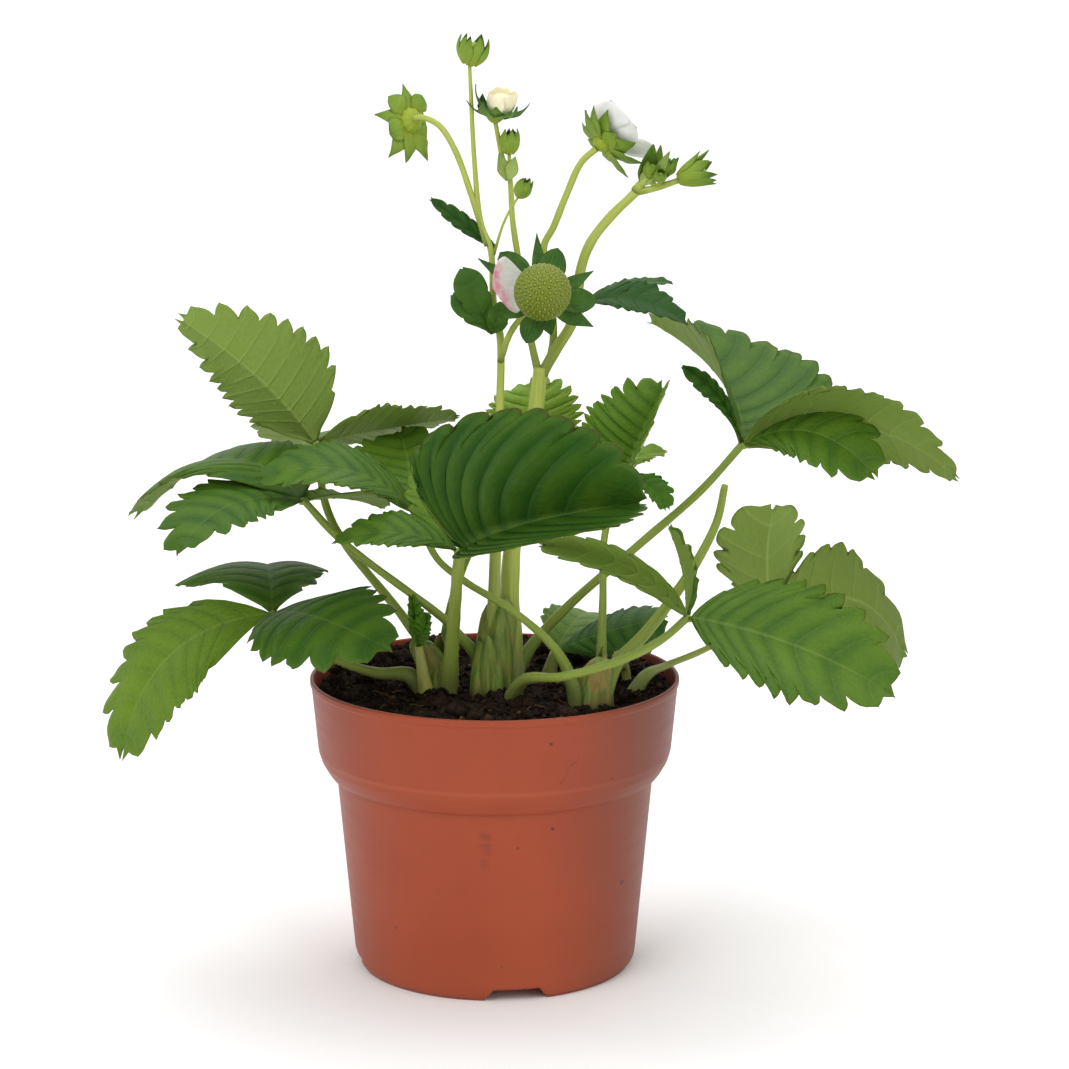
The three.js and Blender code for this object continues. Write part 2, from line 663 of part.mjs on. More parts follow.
// Soil fills the pot; its top is raised in lumps by a sum of sines.
function soilSolid() {
  const side = [
    [0, FLOOR_LIFT + WALL + GAP],
    [FOOT_RADIUS - WALL - GAP, FLOOR_LIFT + WALL + GAP],
    [SHOULDER_RADIUS - WALL - GAP, SHOULDER_Z],
    [COLLAR_RADIUS - WALL - GAP, COLLAR_BOTTOM],
    [RIM_RADIUS - WALL - 0.7, SOIL_Z - 1.4],
  ];
  const top = [44, 30, 15, 0].map((r) => [r, SOIL_Z]);
  const profile = [...side, ...top].map(([r, z]) => new THREE.Vector2(r, z));
  const shape = new THREE.LatheGeometry(profile, POT_SEGMENTS);
  shape.rotateX(Math.PI / 2);
  const position = shape.attributes.position;
  for (let i = 0; i < position.count; i += 1) {
    const [x, y, z] = [position.getX(i), position.getY(i), position.getZ(i)];
    if (z > SOIL_Z - 0.01) position.setZ(i, z + SOIL_LUMP * lumps(x, y));
  }
  return solidOf(shape);
}

function lumps(x, y) {
  const r = Math.hypot(x, y) / 55;
  const waves = Math.sin(0.31 * x + 1) * Math.cos(0.27 * y) + 0.6 * Math.sin(0.55 * y - 0.4 * x);
  return waves * Math.min(1, 2 * r) + 0.8 * Math.max(0, y / 55);
}

// ---- crowns, leaves, flower stems ----

// A stump with pointed stipules standing round it.
function crownSolid({ path, radius }) {
  const pieces = [stemSolid({ path, radius, steps: 3, sides: 9 })];
  const [x, y] = path[1];
  for (const { turn, z, length } of STIPULES) {
    const angle = degToRad(turn);
    const out = [Math.cos(angle), Math.sin(angle)];
    const reach = radius[1] * 0.75;
    const base = [x + reach * out[0], y + reach * out[1], z];
    const tip = [base[0] + 3.4 * out[0], base[1] + 3.4 * out[1], z + length];
    pieces.push(sepalSolid(base, { tip, up: [-out[0], -out[1], 0.2], width: 6, bow: -0.6, thickness: 1.2 }));
  }
  return fuse(pieces);
}

function leafletsSolid(leaf) {
  const hub = leaf.path[leaf.path.length - 1];
  const blades = leaf.leaflets.map((spec) => {
    const foot = vector(spec.tip).sub(vector(hub)).setLength(0.7 * leaf.radius[1]).add(vector(hub));
    return bladeSolid(foot.toArray(), spec);
  });
  return fuse([ball(hub, leaf.radius[1] + HUB_EXTRA, 6), ...blades]);
}

// Sepals and bractlets in turn round the axis, on a small cup.
function calyxSolid({ base, axis, cup, count, spread, length, width, bow }) {
  const main = vector(axis).normalize();
  const first = new THREE.Vector3(0, 0, 1).cross(main);
  if (first.length() < 0.2) first.set(1, 0, 0).projectOnPlane(main);
  first.normalize();
  const second = new THREE.Vector3().crossVectors(main, first);
  const centre = vector(base).addScaledVector(main, cup);
  const pieces = [ball(centre.toArray(), cup, 6)];
  for (let i = 0; i < count; i += 1) {
    const kind = i % 2;
    const turn = (2 * Math.PI * i) / count + 0.12 * Math.sin(5 * i);
    const out = first.clone().multiplyScalar(Math.cos(turn)).addScaledVector(second, Math.sin(turn));
    const lean = degToRad(spread[kind] + 7 * Math.sin(3 * i + 1));
    const reach = length[kind] * (1 + 0.1 * Math.sin(4 * i));
    const root = centre.clone().addScaledVector(out, cup * 0.8);
    const tip = root
      .clone()
      .addScaledVector(main, reach * Math.cos(lean))
      .addScaledVector(out, reach * Math.sin(lean));
    const up = main.clone().multiplyScalar(Math.sin(lean)).addScaledVector(out, -Math.cos(lean));
    const spec = { tip: tip.toArray(), up: up.toArray(), width: width[kind], bow: -bow };
    pieces.push(sepalSolid(root.toArray(), spec));
  }
  return fuse(pieces);
}

// A closed bud's calyx: a cup whose rim runs out into pointed lobes, in one sheet that
// is thick enough to stand; every other point of its rim is the tip of a lobe.
function budSolid({ base, axis, cup, count, spread, length }) {
  const { main, right, upward } = frameAlong(axis);
  const around = 2 * count;
  const ring = (radius, height, waves = 0, lift = 0) =>
    Array.from({ length: around }, (_, i) => {
      const tip = i % 2 === 0 ? 1 : 0;
      const angle = (2 * Math.PI * i) / around;
      const r = radius + tip * waves * (1 + 0.25 * Math.sin(3 * i));
      const z = height + tip * lift * (1 + 0.12 * Math.sin(5 * i));
      return vector(base)
        .addScaledVector(main, z)
        .addScaledVector(right, r * Math.cos(angle))
        .addScaledVector(upward, r * Math.sin(angle));
    });
  const lean = Math.sin(degToRad(spread[1]));
  return skin([
    ring(0.5 * cup, 0),
    ring(1.25 * cup, 0.9 * cup),
    ring(1.4 * cup, 2.1 * cup, 0.35 * cup, 0.25 * length[0]),
    ring(1.2 * cup, 2.5 * cup, lean * length[0], 0.62 * length[0]),
    ring(0.75 * cup, 2.2 * cup, 0.3 * cup, 0.2 * length[0]),
    ring(0.3 * cup, 1.6 * cup),
  ]);
}

// ---- fruit, petals ----

// An axis system: out of the fruit, to its right and up, for placing round it.
function frameAlong(axis) {
  const main = vector(axis).normalize();
  const right = new THREE.Vector3(1, 0, 0).projectOnPlane(main).normalize();
  const upward = new THREE.Vector3().crossVectors(right, main).normalize();
  if (upward.z < 0) upward.negate();
  return { main, right, upward };
}

// A squat ball whose every other vertex is raised into an achene.
function fruitSolid(extra = 0) {
  const [around, down] = extra ? [10, 6] : [20, 12];
  const swell = extra ? extra + 0.45 : 0; // a coarse ball lies inside the true one
  const shape = new THREE.SphereGeometry(1, around, down);
  const position = shape.attributes.position;
  const { main, right, upward } = frameAlong(FRUIT_AXIS);
  for (let i = 0; i < position.count; i += 1) {
    const [x, y, z] = [position.getX(i), position.getY(i), position.getZ(i)];
    const ring = Math.round((Math.acos(clamp(y, -1, 1)) / Math.PI) * down);
    const step = Math.round((Math.atan2(z, x) / (2 * Math.PI)) * around);
    const inside = ring > 0 && ring < down;
    const raised = !extra && inside && (ring + Math.abs(step)) % 2 === 0 ? 1.045 : 1;
    const point = vector(FRUIT.centre)
      .addScaledVector(main, y * raised * (FRUIT.along + swell))
      .addScaledVector(right, x * raised * (FRUIT.across + swell))
      .addScaledVector(upward, z * raised * (FRUIT.across + swell));
    position.setXYZ(i, point.x, point.y, point.z);
  }
  return solidOf(shape);
}

function fruitCalyxSolid() {
  const { main, right, upward } = frameAlong(FRUIT_AXIS);
  const cup = 2.4;
  const centre = vector(FRUIT_CALYX_BASE).addScaledVector(main, cup);
  const pieces = [ball(centre.toArray(), cup, 8)];
  for (const { turn, reach, width, full } of FRUIT_SEPALS) {
    const angle = degToRad(turn);
    const out = right.clone().multiplyScalar(Math.cos(angle)).addScaledVector(upward, Math.sin(angle));
    const root = centre.clone().addScaledVector(out, 0.7 * cup);
    const tip = centre.clone().addScaledVector(out, reach).addScaledVector(main, 1.5);
    const round = full < 0.6;
    const stations = round ? [[0, 0.3], [0.4, 0.6], [0.7, 1], [0.88, 0.8]] : [[0, 0.4], [0.5, 1]];
    const spec = { tip: tip.toArray(), up: main.toArray(), width, bow: -0.8, stations };
    pieces.push(sepalSolid(root.toArray(), spec));
  }
  return fuse(pieces).subtract(fruitSolid(GAP));
}

// The bud's petals are still wrapped round each other: a barrel with a wavy top.
function wrappedPetals({ base, axis, radius, height }) {
  const { main, right, upward } = frameAlong(axis);
  const profile = [[0.35, 0], [0.85, 0.22], [1, 0.55], [0.97, 0.85], [0.84, 1], [0.6, 0.86], [0.25, 0.7]];
  const rings = profile.map(([share, rise], j) =>
    Array.from({ length: 15 }, (_, i) => {
      const angle = (2 * Math.PI * i) / 15;
      const reach = share * radius * (1 + 0.08 * Math.cos(3 * angle + 0.5 * j));
      const top = j > 2 ? 0.07 * height * Math.sin(5 * angle) : 0;
      return vector(base)
        .addScaledVector(main, rise * height + top)
        .addScaledVector(right, reach * Math.cos(angle))
        .addScaledVector(upward, reach * Math.sin(angle));
    }),
  );
  return skin(rings);
}

// Petals round an axis, joined by a small disc at their feet.
function petalsSolid({ base, axis, count, spread, length, width, ring, curl, bow }) {
  const main = vector(axis).normalize();
  const first = new THREE.Vector3(0, 1, 0).projectOnPlane(main).normalize();
  const second = new THREE.Vector3().crossVectors(main, first);
  const foot = vector(base);
  const pieces = [ball(foot.toArray(), ring, 6)];
  for (let i = 0; i < count; i += 1) {
    const angle = (2 * Math.PI * i) / count;
    const out = first.clone().multiplyScalar(Math.cos(angle)).addScaledVector(second, Math.sin(angle));
    const lean = degToRad(spread + 6 * Math.sin(2 * i));
    const root = foot.clone().addScaledVector(out, ring * 0.75);
    const tip = root
      .clone()
      .addScaledVector(main, length * Math.cos(lean))
      .addScaledVector(out, length * Math.sin(lean));
    const up = main.clone().multiplyScalar(Math.sin(lean)).addScaledVector(out, -Math.cos(lean));
    const spec = {
      tip: tip.toArray(), up: up.toArray(), width, bow, curl, full: 0.5, peak: 1.3, columns: 4,
      start: 0.6,
    };
    pieces.push(bladeSolid(root.toArray(), spec, PETAL_THICKNESS));
  }
  return fuse(pieces);
}

// ---- the scene graph ----

const plant = new THREE.Group();
plant.name = "potted_strawberry";

function addPiece(name, solid, colour, roughness) {
  const mesh = solid.getMesh();
  const geometry = new THREE.BufferGeometry();
  const positions = new Float32Array(mesh.vertProperties);
  geometry.setAttribute("position", new THREE.BufferAttribute(positions, 3));
  geometry.setIndex(new THREE.BufferAttribute(new Uint32Array(mesh.triVerts), 1));
  geometry.computeVertexNormals();
  const material = new THREE.MeshStandardMaterial({ color: colour, roughness, metalness: 0 });
  const piece = new THREE.Mesh(geometry, material);
  piece.name = name;
  plant.add(piece);
}

addPiece("pot", potSolid(), COLOURS.terracotta, 0.5);

const wideStems = [];
for (const leaf of Object.values(LEAVES)) wideStems.push(stemSolid(leaf, GAP));
for (const { branches } of Object.values(FLOWER_STEMS)) wideStems.push(stemSolid(branches[0], GAP));
for (const stem of [CUT_PETIOLE, SHOOT, YOUNG_LEAF]) wideStems.push(stemSolid(stem, GAP));
const sockets = fuse(wideStems);

const wideCrowns = Object.values(CROWNS).map((crown) => stemSolid({ ...crown, steps: 3, sides: 9 }, GAP));
addPiece("soil", mainBody(soilSolid().subtract(fuse(wideCrowns)).subtract(sockets)), COLOURS.soil, 0.95);
for (const [name, crown] of Object.entries(CROWNS)) {
  addPiece("crown_" + name, mainBody(crownSolid(crown).subtract(sockets)), COLOURS.crown, 0.7);
}

for (const [name, leaf] of Object.entries(LEAVES)) {
  const short = leaf.radius[1] + HUB_EXTRA + GAP;
  addPiece("petiole_" + name, stemSolid({ ...leaf, short }), COLOURS.petiole, 0.6);
  addPiece("leaflets_" + name, leafletsSolid(leaf), leaf.young ? COLOURS.youngLeaf : COLOURS.leaf, 0.6);
}
addPiece("petiole_cut", stemSolid(CUT_PETIOLE), COLOURS.petiole, 0.6);
const knob = ball(SHOOT_KNOB.at, SHOOT_KNOB.radius, 8);
addPiece("curled_shoot", fuse([stemSolid(SHOOT), knob]), COLOURS.youngLeaf, 0.6);
const youngBlades = YOUNG_LEAF.leaflets.map((spec) => bladeSolid(YOUNG_LEAF.path[2], spec));
addPiece("young_leaf", fuse([stemSolid(YOUNG_LEAF), ...youngBlades]), COLOURS.youngLeaf, 0.6);

for (const [name, { branches }] of Object.entries(FLOWER_STEMS)) {
  addPiece("flower_stem_" + name, fuse(branches.map((branch) => stemSolid(branch))), COLOURS.stem, 0.6);
}
for (const [name, { hub, stub, leaflets }] of Object.entries(BRACTS)) {
  const blades = leaflets.map((leaflet) =>
    bladeSolid(hub, { fold: 10, bow: 2, teeth: 2, toothDepth: 0.13, start: 0.5, ...leaflet }),
  );
  addPiece("bract_leaf_" + name, fuse([ball(hub, stub, 6), ...blades]), COLOURS.bract, 0.6);
}
for (const [name, calyx] of Object.entries(CALYXES)) {
  addPiece("calyx_" + name, calyxSolid(calyx), COLOURS.sepal, 0.6);
}
for (const [name, bud] of Object.entries(BUDS)) {
  addPiece("calyx_" + name, budSolid(bud), COLOURS.sepal, 0.6);
}
addPiece("petals_cream_bud", wrappedPetals(WRAPPED_PETALS), COLOURS.cream, 0.55);
addPiece("petals_open_flower", petalsSolid(OPEN_PETALS), COLOURS.petal, 0.55);
addPiece("flower_centre", ball(FLOWER_CENTRE.at, FLOWER_CENTRE.radius, 8), COLOURS.anther, 0.7);
addPiece("petal_fruit", bladeSolid(LAST_PETAL.base, LAST_PETAL, PETAL_THICKNESS), COLOURS.petal, 0.55);
addPiece("calyx_fruit", fruitCalyxSolid(), COLOURS.sepal, 0.6);
addPiece("fruit", fruitSolid(), COLOURS.fruit, 0.45);

export default plant;
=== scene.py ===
# A strawberry plant in a nursery pot: leaves, flower stems, fruit, pot and soil.
# Shapes are worked out in millimetres and written to the meshes in metres.
import math

import bpy
import numpy as np
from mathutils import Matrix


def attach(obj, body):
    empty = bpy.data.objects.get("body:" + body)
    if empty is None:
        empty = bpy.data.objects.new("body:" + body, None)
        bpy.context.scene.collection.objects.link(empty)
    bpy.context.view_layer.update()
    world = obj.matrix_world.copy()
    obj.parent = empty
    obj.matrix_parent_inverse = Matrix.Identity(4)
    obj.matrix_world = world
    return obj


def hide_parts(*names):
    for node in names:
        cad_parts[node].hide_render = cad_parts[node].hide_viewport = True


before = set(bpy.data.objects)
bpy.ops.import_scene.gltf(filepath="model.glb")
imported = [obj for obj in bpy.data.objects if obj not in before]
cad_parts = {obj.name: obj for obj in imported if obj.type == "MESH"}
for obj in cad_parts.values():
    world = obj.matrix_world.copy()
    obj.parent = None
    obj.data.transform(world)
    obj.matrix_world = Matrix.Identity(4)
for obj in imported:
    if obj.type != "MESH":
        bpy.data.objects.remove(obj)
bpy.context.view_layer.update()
millimetre = 0.001
body = "root"


# Camera, light and floor, in metres

studio = dict(
    camera=(0.013, -1.0, 0.345), pitch=11.44, lens=106.15, sensor=36,
    lights=dict(
        key=dict(place=(-1.1, -1.5, 1.7), power=20, size=1.3),
        fill=dict(place=(1.5, -1.1, 0.9), power=9, size=1.6),
        top=dict(place=(0.1, 0.3, 1.9), power=10, size=1.6),
        backdrop=dict(place=(0, 1.3, 2.5), power=34, size=3.0, aim=(0, 3.1, 0.2)),
    ),
    world=0.64, worldBlue=1.01, floorTone=0.95,
    floorHalf=5.0, floorNear=-4.0, floorBend=2.0, floorTop=4.0,
)


def areaLight(name, place, power, size, aim=(0, 0, 0.15)):
    data = bpy.data.lights.new(name, "AREA")
    data.energy = power
    data.size = size
    light = bpy.data.objects.new(name, data)
    bpy.context.scene.collection.objects.link(light)
    toward = np.array(aim) - np.array(place)
    yaw = math.atan2(toward[0], -toward[1])
    drop = math.atan2(math.hypot(toward[0], toward[1]), -toward[2])
    light.location = place
    light.rotation_euler = (drop, 0, yaw + math.pi)


def setUpStudio():
    scene = bpy.context.scene
    camera = bpy.data.objects.new("camera", bpy.data.cameras.new("camera"))
    scene.collection.objects.link(camera)
    camera.location = studio["camera"]
    camera.rotation_euler = (math.radians(90 - studio["pitch"]), 0, 0)
    camera.data.lens = studio["lens"]
    camera.data.sensor_width = studio["sensor"]
    scene.camera = camera
    for name, light in studio["lights"].items():
        areaLight(name + "Light", **light)
    world = bpy.data.worlds.new("studio")
    world.use_nodes = True
    tone = studio["world"]
    background = world.node_tree.nodes["Background"]
    background.inputs["Color"].default_value = (tone, tone, tone * studio["worldBlue"], 1)
    scene.world = world
    scene.view_settings.view_transform = "Standard"


def makeFloor():
    # a sweep: flat to the bend behind the plant, then a quarter circle of 1 m up to a wall
    turn = np.linspace(0, math.pi / 2, 17)
    y = np.concatenate([[studio["floorNear"], 0.0], studio["floorBend"] + np.sin(turn),
                        [studio["floorBend"] + 1]])
    z = np.concatenate([[0.0, 0.0], 1 - np.cos(turn), [studio["floorTop"]]])
    x = np.array([-1, 1]) * studio["floorHalf"]
    points = np.stack(np.broadcast_arrays(x[None, :], y[:, None], z[:, None]), -1)
    form = Form()
    form.grid(points / millimetre)
    floor = form.build("floor", [floorFinish()], loose=True)


# Shader maths

class Value:
    # one socket of a node, with the sums that are written on it

    def __init__(self, shader, socket):
        self.shader = shader
        self.socket = socket

    def math(self, operation, *others):
        node = self.shader.node("ShaderNodeMath", {"operation": operation}, {0: self})
        for place, other in enumerate(others, 1):
            self.shader.feed(node.inputs[place], other)
        return Value(self.shader, node.outputs[0])

    def __add__(self, other): return self.math("ADD", other)
    def __sub__(self, other): return self.math("SUBTRACT", other)
    def __mul__(self, other): return self.math("MULTIPLY", other)
    def __truediv__(self, other): return self.math("DIVIDE", other)
    def __pow__(self, other): return self.math("POWER", other)
    def __radd__(self, other): return self.math("ADD", other)
    def __rmul__(self, other): return self.math("MULTIPLY", other)
    def __neg__(self): return self.math("MULTIPLY", -1)
    def __rsub__(self, other): return (-self).math("ADD", other)
    def fraction(self): return self.math("FRACT")
    def absolute(self): return self.math("ABSOLUTE")
    def sine(self): return self.math("SINE")
    def most(self, other): return self.math("MAXIMUM", other)

    def between(self, low, high):
        # 0 at low, 1 at high, smooth and clamped
        node = self.shader.node("ShaderNodeMapRange", {"interpolation_type": "SMOOTHSTEP"},
                                {0: self, 1: low, 2: high, 3: 0.0, 4: 1.0})
        return Value(self.shader, node.outputs[0])


class Finish:
    # a material whose nodes are written as expressions

    def __init__(self, name, roughness=0.5, **constants):
        self.material = bpy.data.materials.new(name)
        self.material.use_nodes = True
        self.tree = self.material.node_tree
        self.surface = self.tree.nodes["Principled BSDF"]
        self.surface.inputs["Roughness"].default_value = roughness
        for socket, value in constants.items():
            self.surface.inputs[socket.replace("_", " ")].default_value = value

    def feed(self, socket, value):
        if isinstance(value, Value):
            self.tree.links.new(value.socket, socket)
        elif isinstance(value, tuple) and len(value) == 3 and socket.type == "RGBA":
            socket.default_value = (*value, 1)
        else:
            socket.default_value = value

    def node(self, kind, settings=None, sockets=None):
        node = self.tree.nodes.new(kind)
        for key, value in (settings or {}).items():
            setattr(node, key, value)
        for key, value in (sockets or {}).items():
            self.feed(node.inputs[key], value)
        return node

    def attribute(self, name):
        node = self.node("ShaderNodeAttribute", {"attribute_name": name})
        return Value(self, node.outputs["Fac"])

    def place(self):
        return Value(self, self.node("ShaderNodeTexCoord").outputs["Object"])

    def axes(self, vector):
        node = self.node("ShaderNodeSeparateXYZ", None, {0: vector})
        return [Value(self, output) for output in node.outputs]

    def vector(self, x=0.0, y=0.0, z=0.0):
        return Value(self, self.node("ShaderNodeCombineXYZ", None, {0: x, 1: y, 2: z}).outputs[0])

    def noise(self, scale, detail=2.0, rough=0.5, vector=None):
        node = self.node("ShaderNodeTexNoise", None, {
            "Vector": vector or self.place(), "Scale": scale, "Detail": detail, "Roughness": rough})
        return Value(self, node.outputs[0])

    def cells(self, scale, vector=None, feature="DISTANCE_TO_EDGE"):
        node = self.node("ShaderNodeTexVoronoi", {"feature": feature},
                         {"Vector": vector or self.place(), "Scale": scale})
        return Value(self, node.outputs[0])

    def mix(self, factor, first, second):
        node = self.node("ShaderNodeMix", {"data_type": "RGBA"}, {0: factor, 6: first, 7: second})
        return Value(self, node.outputs[2])

    def colour(self, value):
        self.feed(self.surface.inputs["Base Color"], value)

    def rough(self, value):
        self.feed(self.surface.inputs["Roughness"], value)

    def relief(self, height, depth=0.0005, strength=1.0):
        node = self.node("ShaderNodeBump", None,
                         {"Strength": strength, "Distance": depth, "Height": height})
        self.feed(self.surface.inputs["Normal"], Value(self, node.outputs[0]))


def floorFinish():
    f = Finish("studioFloor", roughness=0.9, Specular_IOR_Level=0.1)
    tone = studio["floorTone"]
    f.surface.inputs["Base Color"].default_value = (tone, tone, tone, 1)
    return f.material


def paint(red, green, blue):
    # a colour as it looks on screen, 0 to 255, turned into the light it stands for
    share = np.array([red, green, blue]) / 255
    light = np.where(share <= 0.04045, share / 12.92, ((share + 0.055) / 1.055) ** 2.4)
    return tuple(float(value) for value in light)


# Meshes from grids of points

class Form:
    # grids of points that together make one mesh, with the values that its finish reads

    keys = ("vein", "across", "side", "shade", "hair")

    def __init__(self):
        self.points, self.faces, self.values = [], [], []
        self.count = 0

    def addPoints(self, points, values):
        start = self.count
        flat = np.reshape(points, (-1, 3))
        table = np.zeros((len(flat), len(self.keys)))
        for column, key in enumerate(self.keys):
            if key in values:
                table[:, column] = np.broadcast_to(values[key], np.shape(points)[:-1]).ravel()
        self.points.append(flat)
        self.values.append(table)
        self.count += len(flat)
        return start

    def addFaces(self, corners, finish=0):
        self.faces.append((np.asarray(corners), finish))

    def grid(self, points, ring=False, capped=False, flip=False, finish=0, **values):
        # rows follow one parameter, columns the other; a ring joins its last column to its first
        rows, columns = points.shape[:2]
        start = self.addPoints(points, values)
        index = start + np.arange(rows * columns).reshape(rows, columns)
        if ring:
            index = np.concatenate([index, index[:, :1]], 1)
        corners = np.stack([index[:-1, :-1], index[:-1, 1:], index[1:, 1:], index[1:, :-1]], -1)
        corners = corners.reshape(-1, 4)
        self.addFaces(corners[:, ::-1] if flip else corners, finish)
        if capped:
            for row, order in ((0, -1), (rows - 1, 1)):
                middle = points[row].mean(0)
                ends = {key: float(np.mean(np.broadcast_to(value, (rows, columns))[row]))
                        for key, value in values.items()}
                pole = self.addPoints(middle[None], ends)
                edge = index[row]
                fan = np.stack([edge[:-1], edge[1:], np.full(len(edge) - 1, pole)], -1)
                fan = fan if order > 0 else fan[:, ::-1]
                self.addFaces(fan[:, ::-1] if flip else fan, finish)
        return index

    def sheet(self, upper, lower, finish=0, **values):
        # two matching grids with their edges joined
        top = self.grid(upper, finish=finish, side=1.0, **values)
        under = self.grid(lower, flip=True, finish=finish, side=0.0, **values)
        rim = [np.concatenate([index[0, :-1], index[:-1, -1], index[-1, :0:-1], index[:0:-1, 0]])
               for index in (top, under)]
        nextTop, nextUnder = np.roll(rim[0], -1), np.roll(rim[1], -1)
        self.addFaces(np.stack([rim[0], rim[1], nextUnder, nextTop], -1), finish)

    def build(self, name, finishes, loose=False):
        # the mesh in metres; a loose one, such as the floor, rides on no body
        mesh = bpy.data.meshes.new(name)
        points = np.concatenate(self.points) * millimetre
        values = np.concatenate(self.values)
        corners = np.concatenate([faces.ravel() for faces, finish in self.faces])
        sizes = np.concatenate([np.full(len(faces), faces.shape[1]) for faces, finish in self.faces])
        slots = np.concatenate([np.full(len(faces), finish) for faces, finish in self.faces])
        mesh.vertices.add(len(points))
        mesh.vertices.foreach_set("co", points.ravel())
        mesh.loops.add(len(corners))
        mesh.loops.foreach_set("vertex_index", corners.astype(np.int32))
        mesh.polygons.add(len(sizes))
        starts = np.concatenate([[0], np.cumsum(sizes)[:-1]])
        mesh.polygons.foreach_set("loop_start", starts.astype(np.int32))
        mesh.polygons.foreach_set("material_index", slots.astype(np.int32))
        mesh.polygons.foreach_set("use_smooth", np.ones(len(sizes), bool))
        for finish in finishes:
            mesh.materials.append(finish)
        for column, key in enumerate(self.keys):
            if np.any(values[:, column]):
                layer = mesh.attributes.new(key, "FLOAT", "POINT")
                layer.data.foreach_set("value", values[:, column])
        mesh.update(calc_edges=True)
        made = bpy.data.objects.new(name, mesh)
        bpy.context.scene.collection.objects.link(made)
        if not loose:
            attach(made, body)
        return made


def unit(vectors):
    return vectors / np.maximum(np.linalg.norm(vectors, axis=-1, keepdims=True), 1e-12)


def vec(*values):
    return np.array(values, float)


def route(path, count, short=0.0):
    # Points evenly spaced along a smooth curve through the given ones. Between two of them it is the
    # cubic whose end slopes come from their neighbours, each weighted by the root of its distance
    # (a centripetal Catmull-Rom curve). It stops short of the last one by the given length.
    knots = np.array(path, float)
    knots = np.vstack([2 * knots[0] - knots[1], knots, 2 * knots[-1] - knots[-2]])
    gaps = np.sqrt(np.linalg.norm(np.diff(knots, axis=0), axis=1))[:, None]
    slope = np.diff(knots, axis=0) / gaps
    wide = (knots[2:] - knots[:-2]) / (gaps[:-1] + gaps[1:])
    turn = slope[:-1] - wide + slope[1:]
    here, there = knots[1:-2], knots[2:-1]
    leave, arrive = turn[:-1] * gaps[1:-1], turn[1:] * gaps[1:-1]
    t = np.linspace(0, 1, 41)[:-1, None, None]
    curve = (here + leave * t + (3 * (there - here) - 2 * leave - arrive) * t ** 2
             + (2 * (here - there) + leave + arrive) * t ** 3)
    curve = np.vstack([curve.transpose(1, 0, 2).reshape(-1, 3), knots[-2:-1]])
    length = np.concatenate([[0], np.cumsum(np.linalg.norm(np.diff(curve, axis=0), axis=1))])
    wanted = np.linspace(0, length[-1] - short, count)
    return np.stack([np.interp(wanted, length, curve[:, axis]) for axis in range(3)], -1)


def frameOf(centre):
    # the tangent along a path and two directions square to it, the first near the path's plane normal
    tangent = unit(np.gradient(centre, axis=0))
    spread = centre - centre.mean(0)
    flat = np.linalg.svd(spread, full_matrices=False)[2][-1]
    side = unit(flat - (tangent @ flat)[:, None] * tangent)
    return tangent, side, np.cross(tangent, side)


def tube(form, centre, radius, sides=12, finish=0, capped=True, **values):
    # a circle of the given radius, carried along the path square to it; unless told otherwise
    # across and vein hold the place round the circle and shade the place along the path
    side, other = frameOf(centre)[1:]
    turn = np.linspace(0, 2 * math.pi, sides, endpoint=False)
    reach = np.broadcast_to(np.reshape(radius, (-1, 1)), (len(centre), sides))
    around = np.cos(turn)[None, :, None] * side[:, None] + np.sin(turn)[None, :, None] * other[:, None]
    points = centre[:, None] + reach[..., None] * around
    grain = dict(across=np.sin(turn)[None, :], vein=np.cos(turn)[None, :],
                 shade=np.linspace(0, 1, len(centre))[:, None])
    grain.update(values)
    return form.grid(points, ring=True, capped=capped, finish=finish, **grain)


needle = dict(thick=0.028, rise=0.35, spread=0.3, shake=0.25, shortest=0.6, longest=1.25, sunk=0.95)


def hairs(form, centre, radius, count, length, seed):
    # fine hairs as three-sided needles: a foot of three points and a tip, leaning along the stalk
    draw = np.random.default_rng(seed)
    tangent, side, other = frameOf(centre)
    reach = np.broadcast_to(radius, (len(centre),))
    station = draw.uniform(0.02, 0.98, count) * (len(centre) - 1)
    low = np.minimum(station.astype(int), len(centre) - 2)
    part = (station - low)[:, None]
    at = centre[low] * (1 - part) + centre[low + 1] * part
    turn = draw.uniform(0, 2 * math.pi, count)
    out = np.cos(turn)[:, None] * side[low] + np.sin(turn)[:, None] * other[low]
    root = at + out * reach[low][:, None] * needle["sunk"]
    lean = unit(out + tangent[low] * draw.normal(needle["rise"], needle["spread"], count)[:, None]
                + draw.normal(0, needle["shake"], (count, 3)))
    across = unit(np.cross(lean, tangent[low]))
    third = np.cross(lean, across)
    angles = np.arange(3) * 2 * math.pi / 3
    foot = root[:, None] + needle["thick"] * (np.cos(angles)[None, :, None] * across[:, None]
                                              + np.sin(angles)[None, :, None] * third[:, None])
    tip = root + lean * (length * draw.uniform(needle["shortest"], needle["longest"], count))[:, None]
    points = np.concatenate([foot, tip[:, None]], 1)
    start = form.addPoints(points, dict(hair=1.0, across=np.array([0, 0, 0, 1.0])[None, :]))
    corner = start + 4 * np.arange(count)[:, None]
    for a, b in ((0, 1), (1, 2), (2, 0)):
        form.addFaces(np.concatenate([corner + a, corner + b, corner + 3], 1))


# Leaves

